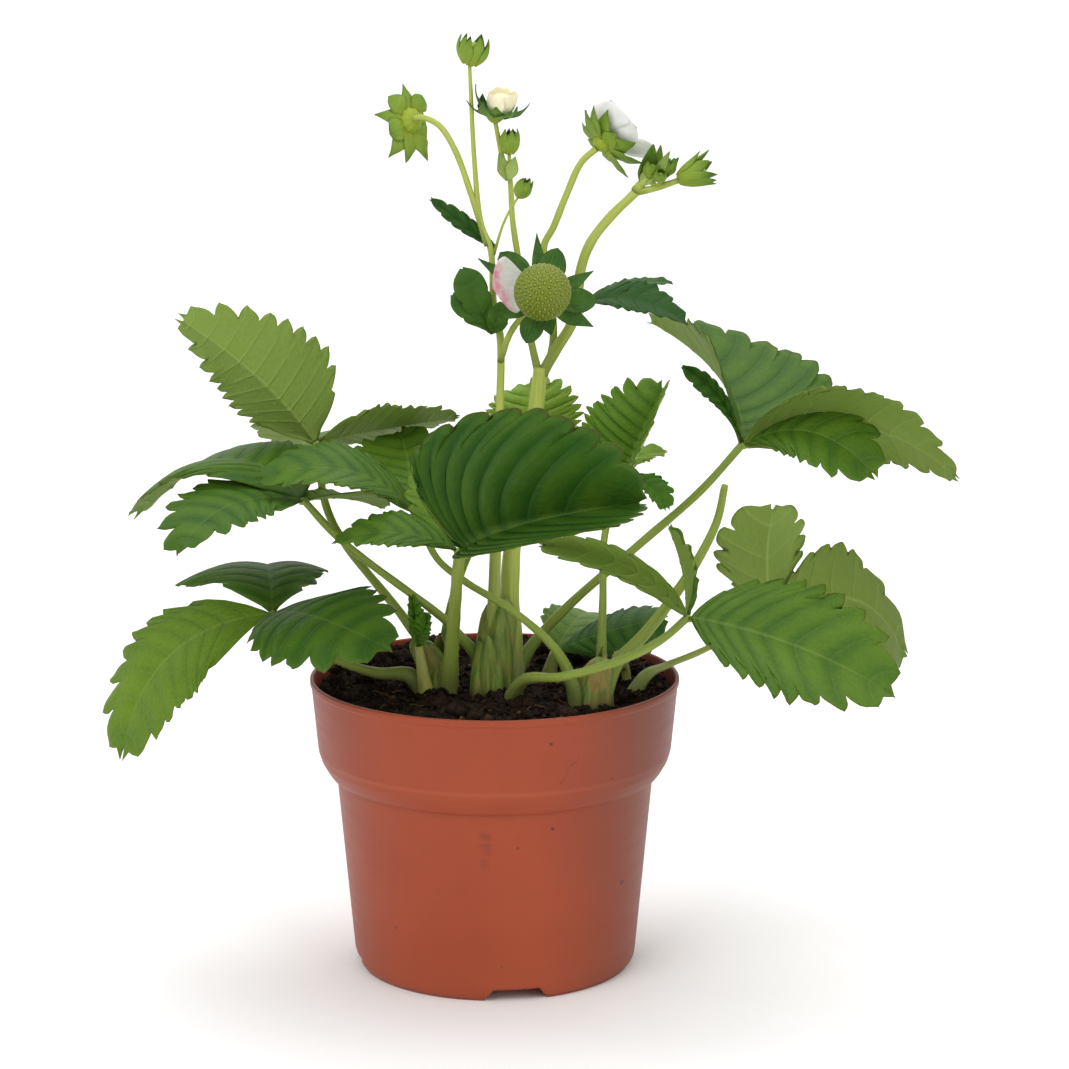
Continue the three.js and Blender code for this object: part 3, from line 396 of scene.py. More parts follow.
blade = dict(
    thickness=0.42,     # a leaflet, in mm; its edge is thinner
    rowsPerHalf=12,
    rib=0.75,           # how far the midrib stands out below
    sideRib=0.16,
    toothTip=0.62,      # where a tooth peaks, from one notch to the next
    bare=0.26,          # share of the length below the first tooth
    foot=0.25,          # how slowly a leaflet widens from its foot
    blunt=3.4,          # how late it narrows to its tip
    edgeWave=0.35,      # the teeth's own curl
    veinCurve=1.25,     # how late the side veins swing forward
    toothSpread=0.22,   # how much the teeth differ in size
    hook=0.25,          # how far the teeth lean towards the tip
    tipReach=1.5,       # how far the last teeth point forward
    wave=0.022,         # long and short waves of the edge, as shares of the width
    ripple=0.009,
)
toothSteps = np.array([0, 0.06, 0.14, 0.25, 0.37, 0.49, 0.57, 0.62, 0.67, 0.76, 0.88])


def toothShape(phase, lobed):
    # a rounded lobe from notch to notch; the less it is lobed, the more it ends in a small point
    tip = blade["toothTip"]
    power = 0.72 - 0.3 * lobed
    rise = np.sin(np.clip(phase / tip, 0, 1) * math.pi / 2) ** power
    fall = np.cos(np.clip((phase - tip) / (1 - tip), 0, 1) * math.pi / 2) ** power
    return np.where(phase < tip, rise, fall) + 0.16 * (1 - lobed) * np.exp(-((phase - tip) / 0.05) ** 2)


def leaflet(form, base, tip, up, width, bow=0, sway=0, fold=0, curl=0, droop=0, teeth=8, quilt=0.4,
            toothDepth=0.075, peak=1.12, full=0.6, wide=0.8, seed=0, finish=0, shade=0.5, thickness=None,
            rows=None, rough=1.0, bare=None, foot=None, blunt=None, halves=(1.0, 1.0), turn=0,
            fan=1.7, edges=(1.0, 1.0), lobed=0.4, ahead=(0, 0)):
    # A folded sheet along a bowed midrib. Its half width is a share of width/2: (1 - exp(-u/foot))
    # * (1 - u^blunt)^0.7 for a toothed leaflet, sin(pi u^peak)^full for a smooth one. The rows run
    # from the midrib to the edge along the side veins, and between two veins the sheet swells by the
    # quilt. The halves are the shares of the width on the right and on the left of the midrib, the
    # edges those of the teeth. Turn tips both halves, in degrees, a larger fan gathers the side veins
    # towards the foot, and ahead moves the right and the left edge towards the tip.
    draw = np.random.default_rng(seed)
    thickness = thickness or blade["thickness"]
    rows = rows or blade["rowsPerHalf"]
    base, tip = vec(*base), vec(*tip)
    length = np.linalg.norm(tip - base)
    along = (tip - base) / length
    above = unit(vec(*up) - np.dot(vec(*up), along) * along)
    aside = np.cross(above, along)

    bare = blade["bare"] if bare is None else bare
    foot = foot or blade["foot"]
    blunt = blunt or blade["blunt"]
    if teeth:
        steps = (np.arange(teeth)[:, None] + toothSteps[None, :]).ravel()
        vein = np.concatenate([np.linspace(-1.6, 0, 7)[:-1], steps, [teeth]])
        u = np.concatenate([np.linspace(0, bare, 7)[:-1], bare + (1 - bare) * steps / teeth, [1.0]])
        phase = np.concatenate([np.zeros(6), np.tile(toothSteps, teeth), [blade["toothTip"]]])
        toothed = np.concatenate([np.zeros(6), np.ones(len(steps) + 1)])
        size = 1 + blade["toothSpread"] * draw.standard_normal((2, teeth + 1))
        each = np.clip(vein.astype(int), 0, teeth)
    else:
        u = np.linspace(0, 1, 20) ** 0.9
        vein, phase, toothed = u * 6, np.zeros(20), np.zeros(20)
        size, each = np.ones((2, 1)), np.zeros(20, int)
    a = np.linspace(-1, 1, 2 * rows + 1)[:, None]
    out, side = np.abs(a), np.sign(a)
    toothSize = np.where(a < 0, edges[0] * size[0][each][None], edges[1] * size[1][each][None])
    if teeth:
        swell = (1 - np.exp(-u / foot)) * np.clip(1 - u ** blunt, 0, 1) ** 0.7
        swell = swell / swell.max()
        half = np.maximum(width / 2 * swell, wide)
    else:
        swell = np.clip(np.sin(math.pi * u ** peak), 0, 1)
        half = width / 2 * swell ** full * (1 - np.exp(-u / 0.12)) + wide * (1 - u)
    share = np.where(a < 0, halves[0], halves[1])
    reach = toothDepth * width * np.minimum(1, 0.5 + 0.9 * np.sin(math.pi * u)) * toothed
    tooth = toothShape(phase, lobed) * toothed
    outer, inner = u + 0.03 * np.sin(2 * math.pi * u), u ** (fan if teeth else 1)
    outer = outer + np.where(a < 0, ahead[0], ahead[1]) * np.sin(math.pi * u)
    late = out ** blade["veinCurve"]
    station = inner * (1 - late) + outer * late
    station = station + out ** 4 * (reach * blade["hook"] * tooth / length) * np.clip(1 - u, 0, 1) ** 0.3
    atTip = np.clip((u - 0.7) / 0.3, 0, 1)
    station = station + out ** 4 * reach * (tooth - 0.3) * atTip / length * blade["tipReach"]
    across = (out * half + out ** 4 * reach * toothSize * (tooth - 0.7 * toothed) * swell ** 0.3) * share

    def midrib(s):
        arch = 4 * s * (1 - s)
        return (base + along * (length * s)[..., None] + above * (bow * arch - droop * s ** 3)[..., None]
                + aside * (sway * arch)[..., None])

    s = np.clip(station, 0, 1.15)
    spine = midrib(s)
    tangent = unit(midrib(s + 1e-3) - midrib(s - 1e-3))
    normal = unit(above - (tangent @ above)[..., None] * tangent)
    lateral = np.cross(normal, tangent)
    angle = np.radians(fold + turn * side) + np.radians(curl) * out * 0.5
    flow = ((phase - blade["toothTip"] + 0.5) % 1.0) - 0.5
    pillow = (1 - (1 - 2 * np.abs(flow)) ** 2) * toothed
    lift = across * np.sin(angle)
    lift = lift + quilt * 2.2 * out ** 0.8 * np.clip(1.12 - out, 0, 1) * pillow * np.sin(math.pi * u) ** 0.5
    waves = draw.uniform(0, 2 * math.pi, 4)
    lift = lift + rough * blade["wave"] * width * out ** 2 * np.sin(7 * u + waves[0] + 1.5 * side)
    lift = lift + rough * blade["ripple"] * width * out ** 3 * np.sin(17 * u + waves[1] + 2 * side)
    lift = lift + rough * blade["edgeWave"] * out ** 6 * tooth * np.sin(9 * vein + waves[2])
    points = spine + lateral * (across * np.cos(angle) * side)[..., None] + normal * lift[..., None]

    # the sheet's own normal, from its neighbours in both directions
    step = np.gradient(points, axis=1)
    cross = np.gradient(points, axis=0)
    facing = unit(np.cross(step, cross))
    facing = facing * np.sign(np.sum(facing * normal, -1, keepdims=True) + 1e-9)
    facing = np.where(out[..., None] < 0.99, facing, normal * np.cos(angle)[..., None]
                      - lateral * (np.sin(angle) * side)[..., None])
    gauge = thickness / 2 * (1 - 0.6 * out ** 6) * np.ones_like(s)
    ridge = blade["rib"] * np.exp(-(across / (0.55 + 0.6 * (1 - u))) ** 2) * (1 - 0.8 * u)
    ridge = ridge + blade["sideRib"] * np.exp(-(flow / 0.07) ** 2) * toothed * (1 - out)
    ridge = ridge * (thickness > 0.35)
    upper = points + facing * gauge[..., None]
    lower = points - facing * (gauge + ridge)[..., None]
    form.sheet(upper, lower, finish=finish, vein=vein[None, :], across=a, shade=shade)


# each leaf: the path of its stalk, the stalk's radius at both ends, and its leaflets by the place of
# the tip and the way that the upper face looks
leaves = {
    "upper_left": dict(
        path=[(-22.4, -10.6, 90), (-23, -9, 107), (-29, -6, 116), (-49, 2, 140), (-55, 8, 151),
              (-58, 12, 171)],
        radius=(1.6, 1.26),
        leaflets=[
            dict(tip=(-99.4, 1.8, 212), up=(0.05, 0.91, 0.41), width=45.3, halves=(0.87, 0.97), fold=29.8,
                 turn=3.34, curl=-12.7, bow=-2.11, sway=4.3, teeth=9, bare=0.14, foot=0.14, blunt=2.07,
                 fan=1.2, lobed=0, quilt=0.12, toothDepth=0.09, shade=0.35),
            dict(tip=(-12.9, 18.8, 177.8), up=(-0.12, 0.42, 0.9), width=37.2, halves=(0.97, 1), fold=2.07,
                 turn=-2.02, curl=5.4, bow=0.81, sway=-0.04, foot=0.27, blunt=2.78),
            dict(tip=(-67, 62, 158), up=(0, 0.15, 1), width=38, fold=12, bow=4, teeth=5),
        ],
    ),
    "mid_left": dict(
        path=[(-3.4, -11.6, 90), (-6, -12, 105), (-11, -13, 112), (-16, -15, 118), (-48, -22, 145),
              (-60, -25, 159)],
        radius=(1.43, 1.18),
        leaflets=[
            dict(tip=(-117, 13, 148), up=(-0.16, 0.05, 0.99), width=56, fold=17, curl=-34, bow=13,
                 sway=-8, bare=0.3, shade=0.3),
            dict(tip=(-95.3, -50.8, 149), up=(-0.17, -0.22, 0.96), width=40.5, halves=(1.01, 0.98),
                 fold=9.62, turn=0.93, curl=-12.8, bow=4.78, sway=-5.04, teeth=6, bare=0.3, foot=0.09,
                 blunt=3.8, lobed=0.2, toothDepth=0.11, shade=0.3),
            dict(tip=(-37, 8, 150), up=(0, 0.05, 1), width=24, fold=10, bow=2, teeth=4),
        ],
    ),
    "front": dict(
        path=[(-15.4, -14.4, 90), (-13, -24, 114), (-11, -42, 138), (-10, -45, 147)],
        radius=(2.1, 1.8),
        leaflets=[
            dict(tip=(44.3, -76.6, 167.7), up=(-0.44, -0.82, 0.36), width=89, halves=(0.56, 1.02),
                 fold=48.8, curl=16.8, bow=11.5, sway=-0.91, teeth=9, bare=0.12, foot=0.18, blunt=1.65,
                 fan=2.6, edges=(0.5, 1), ahead=(0.3, 0.19), lobed=1, quilt=2.4, toothDepth=0.04,
                 shade=0.2),
            dict(tip=(-48.7, -47.6, 149.8), up=(0.01, -0.29, 0.96), width=20.8, halves=(0.98, 1.02),
                 fold=14.2, turn=-2.45, curl=-9.2, bow=3.94, sway=-0.88, teeth=6, foot=0.22, blunt=2.3,
                 fan=2.2, shade=0.35),
            dict(tip=(-15, -17, 171), up=(-0.2, -0.75, 0.5), width=27, fold=15, bow=3, teeth=4),
        ],
    ),
    "low_left": dict(
        path=[(-22, -15.6, 92), (-27, -16, 99.5), (-38, -14, 100), (-50, -13.5, 104), (-62, -15, 112),
              (-71, -14, 120)],
        radius=(1.51, 1.18),
        leaflets=[
            dict(tip=(-119.8, -22.5, 78.7), up=(-0.51, -0.44, 0.74), width=46, halves=(0.94, 0.99),
                 fold=9.21, turn=-3.83, curl=-18.3, bow=9.05, sway=-6.42, droop=2, teeth=7, bare=0.34,
                 foot=0.36, blunt=4.6, edges=(1, 0.35), toothDepth=0.12, shade=0.62),
            dict(tip=(-78.1, 40.6, 122.4), up=(-0.01, 0.01, 1), width=54.9, halves=(0.72, 1.09),
                 fold=14.5, turn=0.85, curl=-48.8, bow=6.95, sway=-0.54, teeth=6, bare=0.3, foot=0.77,
                 blunt=4.91, shade=0.3),
            dict(tip=(-34, -51.8, 117.9), up=(-0.27, -0.28, 0.92), width=43.8, halves=(1.11, 0.97),
                 fold=8.46, turn=-4.44, curl=-21.4, bow=5.9, sway=-2.43, teeth=7, bare=0.2, blunt=4.43,
                 lobed=0.1, toothDepth=0.11, shade=0.3),
        ],
    ),
    "upper_right": dict(
        path=[(3.5, -7.6, 90), (11, 0, 104), (24, 4, 118), (47, 6, 138), (67, 10, 155), (81, 14, 170)],
        radius=(1.6, 1.26),
        leaflets=[
            dict(tip=(53.1, 67, 202.8), up=(0.52, -0.14, 0.84), width=64.5, halves=(1.17, 0.89),
                 fold=34.5, turn=4.18, curl=-9.93, bow=4.44, sway=-7.64, teeth=9, bare=0.14, foot=0.13,
                 blunt=1.61, fan=2.2, lobed=0.8, toothDepth=0.06, shade=0.3),
            dict(tip=(148.2, -1.1, 162.3), up=(0.13, 0.56, 0.82), width=46.7, halves=(1.02, 1.02),
                 fold=13.7, turn=-3.33, curl=-24.8, bow=11, sway=-3.43, teeth=9, bare=0.2, foot=0.22,
                 blunt=1.75, lobed=0.7),
            dict(tip=(121, -7.1, 164.2), up=(-0.29, -0.34, 0.89), width=32.6, halves=(0.97, 0.93),
                 fold=12.6, turn=2.26, curl=-12.3, bow=8.34, sway=3.14, teeth=7, bare=0.2, foot=0.36,
                 blunt=5.57, fan=2.2, toothDepth=0.1, shade=0.4),
            # a small fourth leaflet under the first: its deep tone is its own green and painted shade, for
            # the first leaflet's shadow over it
            dict(tip=(60.7, 4.7, 196.9), up=(-0.41, -0.71, 0.57), width=10.3, halves=(0.77, 0.94),
                 fold=41.5, turn=3.03, curl=7.84, bow=-1.63, sway=-3.06, teeth=6, foot=0.85, blunt=8.42,
                 lobed=0.6, toothDepth=0.1, shade=0.12),
        ],
    ),
    "low_right": dict(
        path=[(4.4, -21.4, 90), (10, -35, 103), (22, -47, 107), (41, -52, 114), (52, -49, 119),
              (61, -42, 125)],
        radius=(1.51, 1.26),
        leaflets=[
            dict(tip=(121.4, -55.9, 104.8), up=(0.2, -0.56, 0.81), width=52.8, halves=(0.96, 0.93),
                 fold=12.9, turn=-1.83, curl=-10.1, bow=2.24, sway=2.11, bare=0.12, foot=0.12, blunt=5.9,
                 fan=2.2, lobed=0.2, toothDepth=0.11, shade=0.4),
            dict(tip=(55.3, -30.1, 150.8), up=(0.98, -0.19, 0.11), width=12.7, halves=(0.96, 1.04),
                 fold=36.3, turn=0.99, curl=3.46, bow=1.19, sway=-2.6, teeth=4, foot=0.28, blunt=4.01,
                 toothDepth=0.13, shade=0.3),
            dict(tip=(16.3, -37.2, 146.7), up=(0.24, 0.87, -0.43), width=19.1, halves=(0.89, 0.9),
                 fold=-42, turn=-9.16, curl=-35.9, bow=-13.1, sway=3.86, teeth=6, foot=0.2, blunt=7,
                 lobed=0.8, toothDepth=0.12, shade=0.6),
        ],
    ),
    "young_right": dict(
        path=[(34.4, -27.4, 90), (34.4, -20, 104), (35, -10, 123), (36, 0, 144), (42, 4, 161)],
        radius=(1.34, 1.09), young=True,
        leaflets=[
            dict(tip=(54.5, 6.7, 189.3), up=(-0.69, -0.66, 0.28), width=40.8, halves=(0.98, 0.97),
                 fold=45.3, turn=5.42, curl=2.99, bow=3.98, sway=-3.78, teeth=9, bare=0.14, foot=0.15,
                 blunt=2.56, quilt=1.7, toothDepth=0.09, shade=0.3),
            dict(tip=(55.3, -3.6, 152.1), up=(0.3, -0.57, 0.76), width=13.4, halves=(0.92, 0.85),
                 fold=20.1, turn=-2.71, curl=-0.54, bow=2.05, sway=1.06, teeth=5, foot=0.37, blunt=4.53,
                 toothDepth=0.12, shade=0),
            dict(tip=(55.3, 16.9, 166.6), up=(-0.25, -0.49, 0.84), width=11.9, halves=(0.93, 0.97),
                 fold=12.1, turn=0.39, curl=-1.83, bow=0.71, sway=3.79, teeth=4, foot=0.41, blunt=6.6,
                 toothDepth=0.14, shade=0.6),
        ],
    ),
    "young_back": dict(
        path=[(-16.6, -8, 90), (-16, -4, 108), (-14, -4, 120), (-8, -1, 137), (2, 8, 153),
              (11, 14, 164)],
        radius=(1.43, 1.09), young=True,
        leaflets=[
            dict(tip=(11.2, 23.8, 188.3), up=(-0.19, -0.87, 0.45), width=34.2, halves=(1.03, 0.79),
                 fold=12.2, turn=1.24, curl=-2.72, bow=5, sway=-1.05, teeth=9, bare=0.16, foot=0.2,
                 blunt=3.59, quilt=1.6, toothDepth=0.08, shade=0.55),
            dict(tip=(-9, 26, 174), up=(0.2, -0.5, 0.8), width=18, fold=15, bow=2, teeth=4),
            dict(tip=(36, 27, 170), up=(-0.2, -0.4, 0.9), width=18, fold=15, bow=2, teeth=4),
        ],
    ),
    "mid_front": dict(
        path=[(28, -32.6, 90), (21, -36, 111), (7, -32, 124), (-9, -27, 133), (-18, -24, 140),
              (-24, -22, 154)],
        radius=(1.34, 1.09),
        leaflets=[
            dict(tip=(-72, -31.2, 166.7), up=(0.29, -0.2, 0.94), width=36.2, halves=(0.89, 0.98),
                 fold=10.2, turn=-2.2, curl=-5.76, bow=9.1, sway=0.65, foot=0.28, blunt=2.74, fan=2.2,
                 shade=0.34),
            dict(tip=(-30.9, 17.8, 173.1), up=(-0.07, -0.38, 0.92), width=39.7, halves=(0.99, 1.01),
                 fold=11.3, turn=1.93, curl=-0.67, bow=-0.35, sway=-0.48, foot=0.3, blunt=3.21, quilt=0.7,
                 shade=0.4),
            dict(tip=(-4, 2, 158), up=(0, -0.1, 1), width=20, fold=8, bow=3, teeth=4),
        ],
    ),
    "far_right": dict(
        path=[(43, -21, 91), (48, -15, 98.4), (56, 0, 99), (67, 10, 101), (82, 24, 105), (93, 34, 109)],
        radius=(1.18, 0.97),
        leaflets=[
            dict(tip=(90.6, 8.2, 149.2), up=(-0.13, 0.84, 0.53), width=34.3, halves=(0.98, 0.83),
                 fold=18.9, turn=4.32, curl=-4.02, bow=-0.46, sway=-1.95, teeth=4, bare=0.3, foot=0.24,
                 blunt=5.82, fan=2.2, lobed=1, toothDepth=0.13, shade=0.45),
            dict(tip=(133.3, 2.5, 104.5), up=(0.56, 0.59, 0.58), width=55.5, halves=(0.96, 1.03),
                 fold=8.55, turn=-0.81, curl=-19, bow=11.3, sway=-4.07, teeth=6, bare=0.2, foot=0.58,
                 lobed=0.8, toothDepth=0.08),
            dict(tip=(112, 86, 102), up=(0, 0.1, 1), width=38, fold=8, bow=4, teeth=5),
        ],
    ),
    "low_back": dict(
        path=[(17, 4, 88), (18, 4, 96), (20, 4, 103)],
        radius=(1.26, 1.01),
        leaflets=[
            dict(tip=(55.3, 0.7, 114.6), up=(-0.28, -0.51, 0.81), width=28.9, halves=(0.88, 0.94),
                 fold=-7.1, turn=-0.22, curl=-21.8, bow=0.27, sway=1.4, teeth=6, bare=0.3, foot=0.56,
                 blunt=6.15, lobed=0.9, shade=0.15),
            dict(tip=(31, 38, 108), up=(0.1, -0.2, 0.95), width=22, fold=8, bow=3, teeth=4),
        ],
    ),
}


def leafFinish(name, deep, fresh, under, veinTone, edge):
    # shade runs from the deep green to the fresh one; side is 1 on the upper face
    f = Finish(name, roughness=0.5, Specular_IOR_Level=0.14)
    side, across = f.attribute("side"), f.attribute("across").absolute()
    vein, shade = f.attribute("vein"), f.attribute("shade")
    # side veins run where a tooth's tip is; their width is in tooth steps
    fromVein = ((vein - blade["toothTip"] + 0.5 + 20).fraction() - 0.5).absolute()
    sideVein = 1 - fromVein.between(0.015, 0.07 - 0.03 * across)
    middle = 1 - across.between(0.01, 0.045)
    mesh = f.cells(1.0, f.vector(vein * 2.6, f.attribute("across") * 8.5, shade * 40))
    network = 1 - mesh.between(0.02, 0.12)
    broad = f.noise(55, 3)
    fine = f.noise(900, 3)
    # painted shade in the grooves along the side veins and painted light on the swellings between them,
    # stronger on darker leaflets
    swollen = (fromVein.between(0.0, 0.4) - 0.6) * (1 - across * 0.5) * (0.34 - shade * 0.4).most(0.1)
    above = f.mix((shade + (broad - 0.5) * 0.4 + swollen).between(0, 1), deep, fresh)
    above = f.mix(network * shade * 0.08, above, veinTone)
    above = f.mix(sideVein * shade * 0.14, above, veinTone)
    above = f.mix(middle * (shade * 0.3 + 0.06), above, veinTone)
    above = f.mix(fine.between(0.3, 0.7) * 0.2, above, deep)
    below = f.mix((broad.between(0.3, 0.75) + shade - 0.5) * 0.3, under, fresh)
    below = f.mix(network * 0.1 + sideVein * 0.3, below, veinTone)
    below = f.mix(middle * 0.65, below, veinTone)
    tone = f.mix(side.between(0.3, 0.7), below, above)
    tone = f.mix(across.between(0.9, 1.0) * (shade * 0.5), tone, fresh)
    tone = f.mix(across.between(0.975, 1.0) * 0.5, tone, edge)
    f.colour(tone)
    f.rough(0.6 - side * 0.14 + fine * 0.12)
    swell = mesh.between(0, 0.35) * 0.5 - sideVein * 0.9 - middle * 0.6
    f.relief(swell * (side * 2 - 1) + fine * 0.3, depth=0.0002, strength=0.7)
    return f.material


def makeLeaves():
    grown = leafFinish("leafGrown", paint(40, 80, 20), paint(110, 140, 34), paint(118, 142, 64),
                       paint(142, 164, 84), paint(84, 66, 34))
    young = leafFinish("leafYoung", paint(66, 108, 26), paint(136, 164, 56), paint(140, 166, 80),
                       paint(166, 190, 104), paint(84, 66, 34))
    knuckle = stalkFinish("leafKnuckle", paint(128, 150, 62), paint(146, 166, 80), 0)
    for number, (name, leaf) in enumerate(leaves.items()):
        form = Form()
        hub = vec(*leaf["path"][-1])
        for order, spec in enumerate(leaf["leaflets"]):
            start = hub + 0.7 * leaf["radius"][1] * unit(vec(*spec["tip"]) - hub)
            leaflet(form, start, seed=100 * number + order, **spec)
        stub = route([hub + (0, 0, -1.6), hub, hub + (0, 0, 0.6)], 7)
        tube(form, stub, leaf["radius"][1] * np.array([1, 1.1, 1.15, 1.1, 0.95, 0.7, 0.3]), 10, finish=1)
        made = form.build("leaf_" + name, [young if leaf.get("young") else grown, knuckle])
        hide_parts("leaflets_" + name)
    print("leaves", len(leaves))


# Petioles and other stalks

stalk = dict(
    sides=12, step=1.6,                     # mm from one ring to the next
    hairsPerSquare=0.7, hairLength=0.6,     # hairs for each square mm, and their length in mm
    short=0.6, flare=1.9, uneven=0.03,
)
cutStalk = dict(
    path=[(33.6, -35.6, 90), (39, -27, 106), (47, -24, 114), (53, -22, 121), (59, -20, 129),
          (65, -18, 138), (71, -16, 150), (73.5, -16, 162)],
    radius=(2.6, 1.2), rings=60, hairs=420, lip=0.985, lipSize=0.86,
)


def stalkFinish(name, low, high, blushTop, blush=paint(128, 130, 70)):
    # a stalk is streaked along its length and blushed below blushTop in mm; its foot is darkened with painted
    # shade
    f = Finish(name, roughness=0.5, Specular_IOR_Level=0.3)
    z = f.axes(f.place())[2]
    streak = f.noise(1.0, 2, vector=f.vector(f.attribute("across") * 4, f.attribute("vein") * 4,
                                             f.attribute("shade") * 7))
    tone = f.mix(streak.between(0.3, 0.7) * 0.7, low, high)
    if blushTop:
        tone = f.mix(1 - (z + streak * 0.006).between((blushTop - 18) * millimetre, blushTop * millimetre),
                     tone, blush)
        # painted shade: darker towards the foot of the stalk, where little light reaches between the stalks
        tone = f.mix((1 - f.attribute("shade") * 3.2).most(0) * 0.6, tone, paint(66, 88, 32))
    tone = f.mix(f.attribute("hair").between(0.4, 0.6) * 0.75, tone, paint(214, 222, 178))
    f.colour(tone)
    f.relief(streak, depth=0.0001, strength=0.4)
    return f.material


def stem(form, path, radius, seed, short=0.0, flare=0.0, swollen=15):
    # the radius runs evenly from the first to the last; the foot is thicker by the flare, which fades
    # over the swollen length in mm
    length = np.sum(np.linalg.norm(np.diff(np.array(path, float), axis=0), axis=1))
    steps = max(6, int(length / stalk["step"]))
    centre = route(path, steps, short)
    along = np.linspace(0, 1, steps)
    reach = radius[0] + (radius[1] - radius[0]) * along
    reach = reach + flare * np.exp(-((along * length / swollen) ** 1.5))
    reach = reach * (1 + stalk["uneven"] * np.sin(37 * along + seed))
    tube(form, centre, reach, stalk["sides"])
    area = 2 * math.pi * float(np.mean(reach)) * length
    hairs(form, centre, reach, int(area * stalk["hairsPerSquare"]), stalk["hairLength"], seed)


def makeStalks():
    green = stalkFinish("petiole", paint(116, 134, 46), paint(138, 154, 66), 112)
    for number, (name, leaf) in enumerate(leaves.items()):
        form = Form()
        stem(form, leaf["path"], leaf["radius"], 11 + number, short=stalk["short"], flare=stalk["flare"])
        made = form.build("stalk_" + name, [green])
        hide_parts("petiole_" + name)
    c = cutStalk
    form = Form()
    centre = route(c["path"], c["rings"])
    along = np.linspace(0, 1, c["rings"])
    reach = c["radius"][0] + (c["radius"][1] - c["radius"][0]) * along ** 0.8
    reach = reach * np.where(along > c["lip"], c["lipSize"], 1)
    tube(form, centre, reach, stalk["sides"])
    hairs(form, centre, reach, c["hairs"], stalk["hairLength"], 77)
    made = form.build("stalk_cut", [green])
    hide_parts("petiole_cut")
    print("stalks", len(leaves) + 1)


# Flower stems, bracts, calyxes, petals and fruit

flowerStems = {
    "left": [
        ([(-0.8, -18, 90), (-0.4, -14, 110), (0, -13, 124), (1, -9, 156), (2, 0, 188), (2, 2, 207),
          (0, 2, 217), (-1, 2, 235), (-4, 2, 243), (-6, 3, 262), (-7.5, 4, 293.4)], (2.1, 0.6)),
        ([(-2, 2, 236), (-7, 2, 252), (-12, 2, 266), (-17, 2, 274), (-22, 3, 276.5), (-25.5, 6, 276)],
         (1.05, 0.95)),
        ([(0, 2, 233), (3, 0, 243), (6, -1, 249), (8, -1.5, 252)], (0.5, 0.4)),
        ([(2, 1, 199), (5, -2, 208), (9, -4.5, 214), (14.7, -5.6, 218.6)], (1.1, 1)),
    ],
    "right": [
        ([(5.8, -13.6, 90), (5.5, -8, 109), (5, -5, 122), (6, -1, 140), (9, 0, 154), (13, 2, 180),
          (15, 2, 197)], (3.1, 2.4)),
        ([(14.5, 2, 194), (12, 2, 205), (10, 6, 215), (8, 6, 230), (6, 5, 244), (5, 5, 258), (3, 5, 263),
          (0.5, 5, 275.4)], (1.3, 0.75)),
        ([(16, 2, 194), (19, 6, 205), (18, 10, 221), (16, 10, 235), (19, 10, 241), (23, 10, 251),
          (28, 9, 262), (32.6, 7.8, 266.3)], (1.25, 1.1)),
        ([(15, 2, 194), (20, 2, 203), (25, 4, 211), (27, 5, 222), (28, 5, 229), (31, 4, 237),
          (37, 3, 245), (43, 2, 251), (46, 2, 254)], (1.9, 1.45)),
        ([(45, 2, 253), (51, 0, 254.5), (55, -0.5, 255.8), (59.2, -0.8, 257.3)], (1.2, 0.95)),
        ([(45, 2, 253.4), (47, 1, 256), (49.4, 0, 258.2)], (1.7, 1)),
        ([(4.6, 5, 257), (5, 4, 261.5), (5, 3, 265)], (0.8, 0.6)),
    ],
}
bracts = {
    "upper": dict(hub=(0.6, 4.2, 235), leaflets=[
        dict(tip=(-20, 10, 250), up=(-0.1, -0.95, 0.3), width=6, fold=24, teeth=4, toothDepth=0.13,
             shade=0.15),
    ]),
    "left": dict(hub=(-0.1, -0.3, 208.4), leaflets=[
        dict(tip=(-9.9, -5, 229.5), up=(-0.2, -0.85, 0.4), width=10.5, teeth=2, toothDepth=0.08, blunt=7,
             foot=0.6),
        dict(tip=(-13, -3, 221), up=(-0.3, -0.75, 0.5), width=8, teeth=2, toothDepth=0.12, blunt=6,
             foot=0.5),
        dict(tip=(2.6, -6, 219), up=(0.1, -0.85, 0.3), width=7, teeth=2, toothDepth=0.06, blunt=6),
    ]),
    "right": dict(hub=(29.6, 4.6, 217.6), leaflets=[
        dict(tip=(57, 14, 223), up=(0, -0.16, 1), width=11, fold=6, teeth=4, shade=0.3, lobed=0),
        dict(tip=(61, -4, 214.5), up=(0.1, -0.42, 0.92), width=18, bow=3.5, droop=2.5, teeth=5,
             toothDepth=0.08, shade=0, lobed=0),
    ]),
}
bractCommon = dict(fold=10, bow=2, teeth=5, toothDepth=0.1, wide=0.5, rows=8, shade=0.5, lobed=1)


def makeFlowerStems():
    pale = stalkFinish("flowerStem", paint(156, 170, 70), paint(186, 194, 100), 118)
    for number, (name, branches) in enumerate(flowerStems.items()):
        form = Form()
        for order, (path, radius) in enumerate(branches):
            stem(form, path, radius, 300 + 20 * number + order, flare=0 if order else 1.6, swollen=26)
        made = form.build("flowerStem_" + name, [pale])
        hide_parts("flower_stem_" + name)
    dark = leafFinish("bractLeaf", paint(38, 76, 24), paint(84, 122, 40), paint(104, 138, 58),
                      paint(112, 142, 70), paint(60, 62, 30))
    for number, (name, bract) in enumerate(bracts.items()):
        form = Form()
        for order, spec in enumerate(bract["leaflets"]):
            leaflet(form, bract["hub"], seed=500 + 10 * number + order, **{**bractCommon, **spec})
        made = form.build("bract_" + name, [dark])
        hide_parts("bract_leaf_" + name)
    print("flower stems", len(flowerStems))


def around(axis):
    # an axis system: along a flower's axis, to its right and up
    main = unit(vec(*axis))
    right = unit(vec(1, 0, 0) - main[0] * main)
    upward = np.cross(right, main)
    return main, right, upward if upward[2] > 0 else -upward


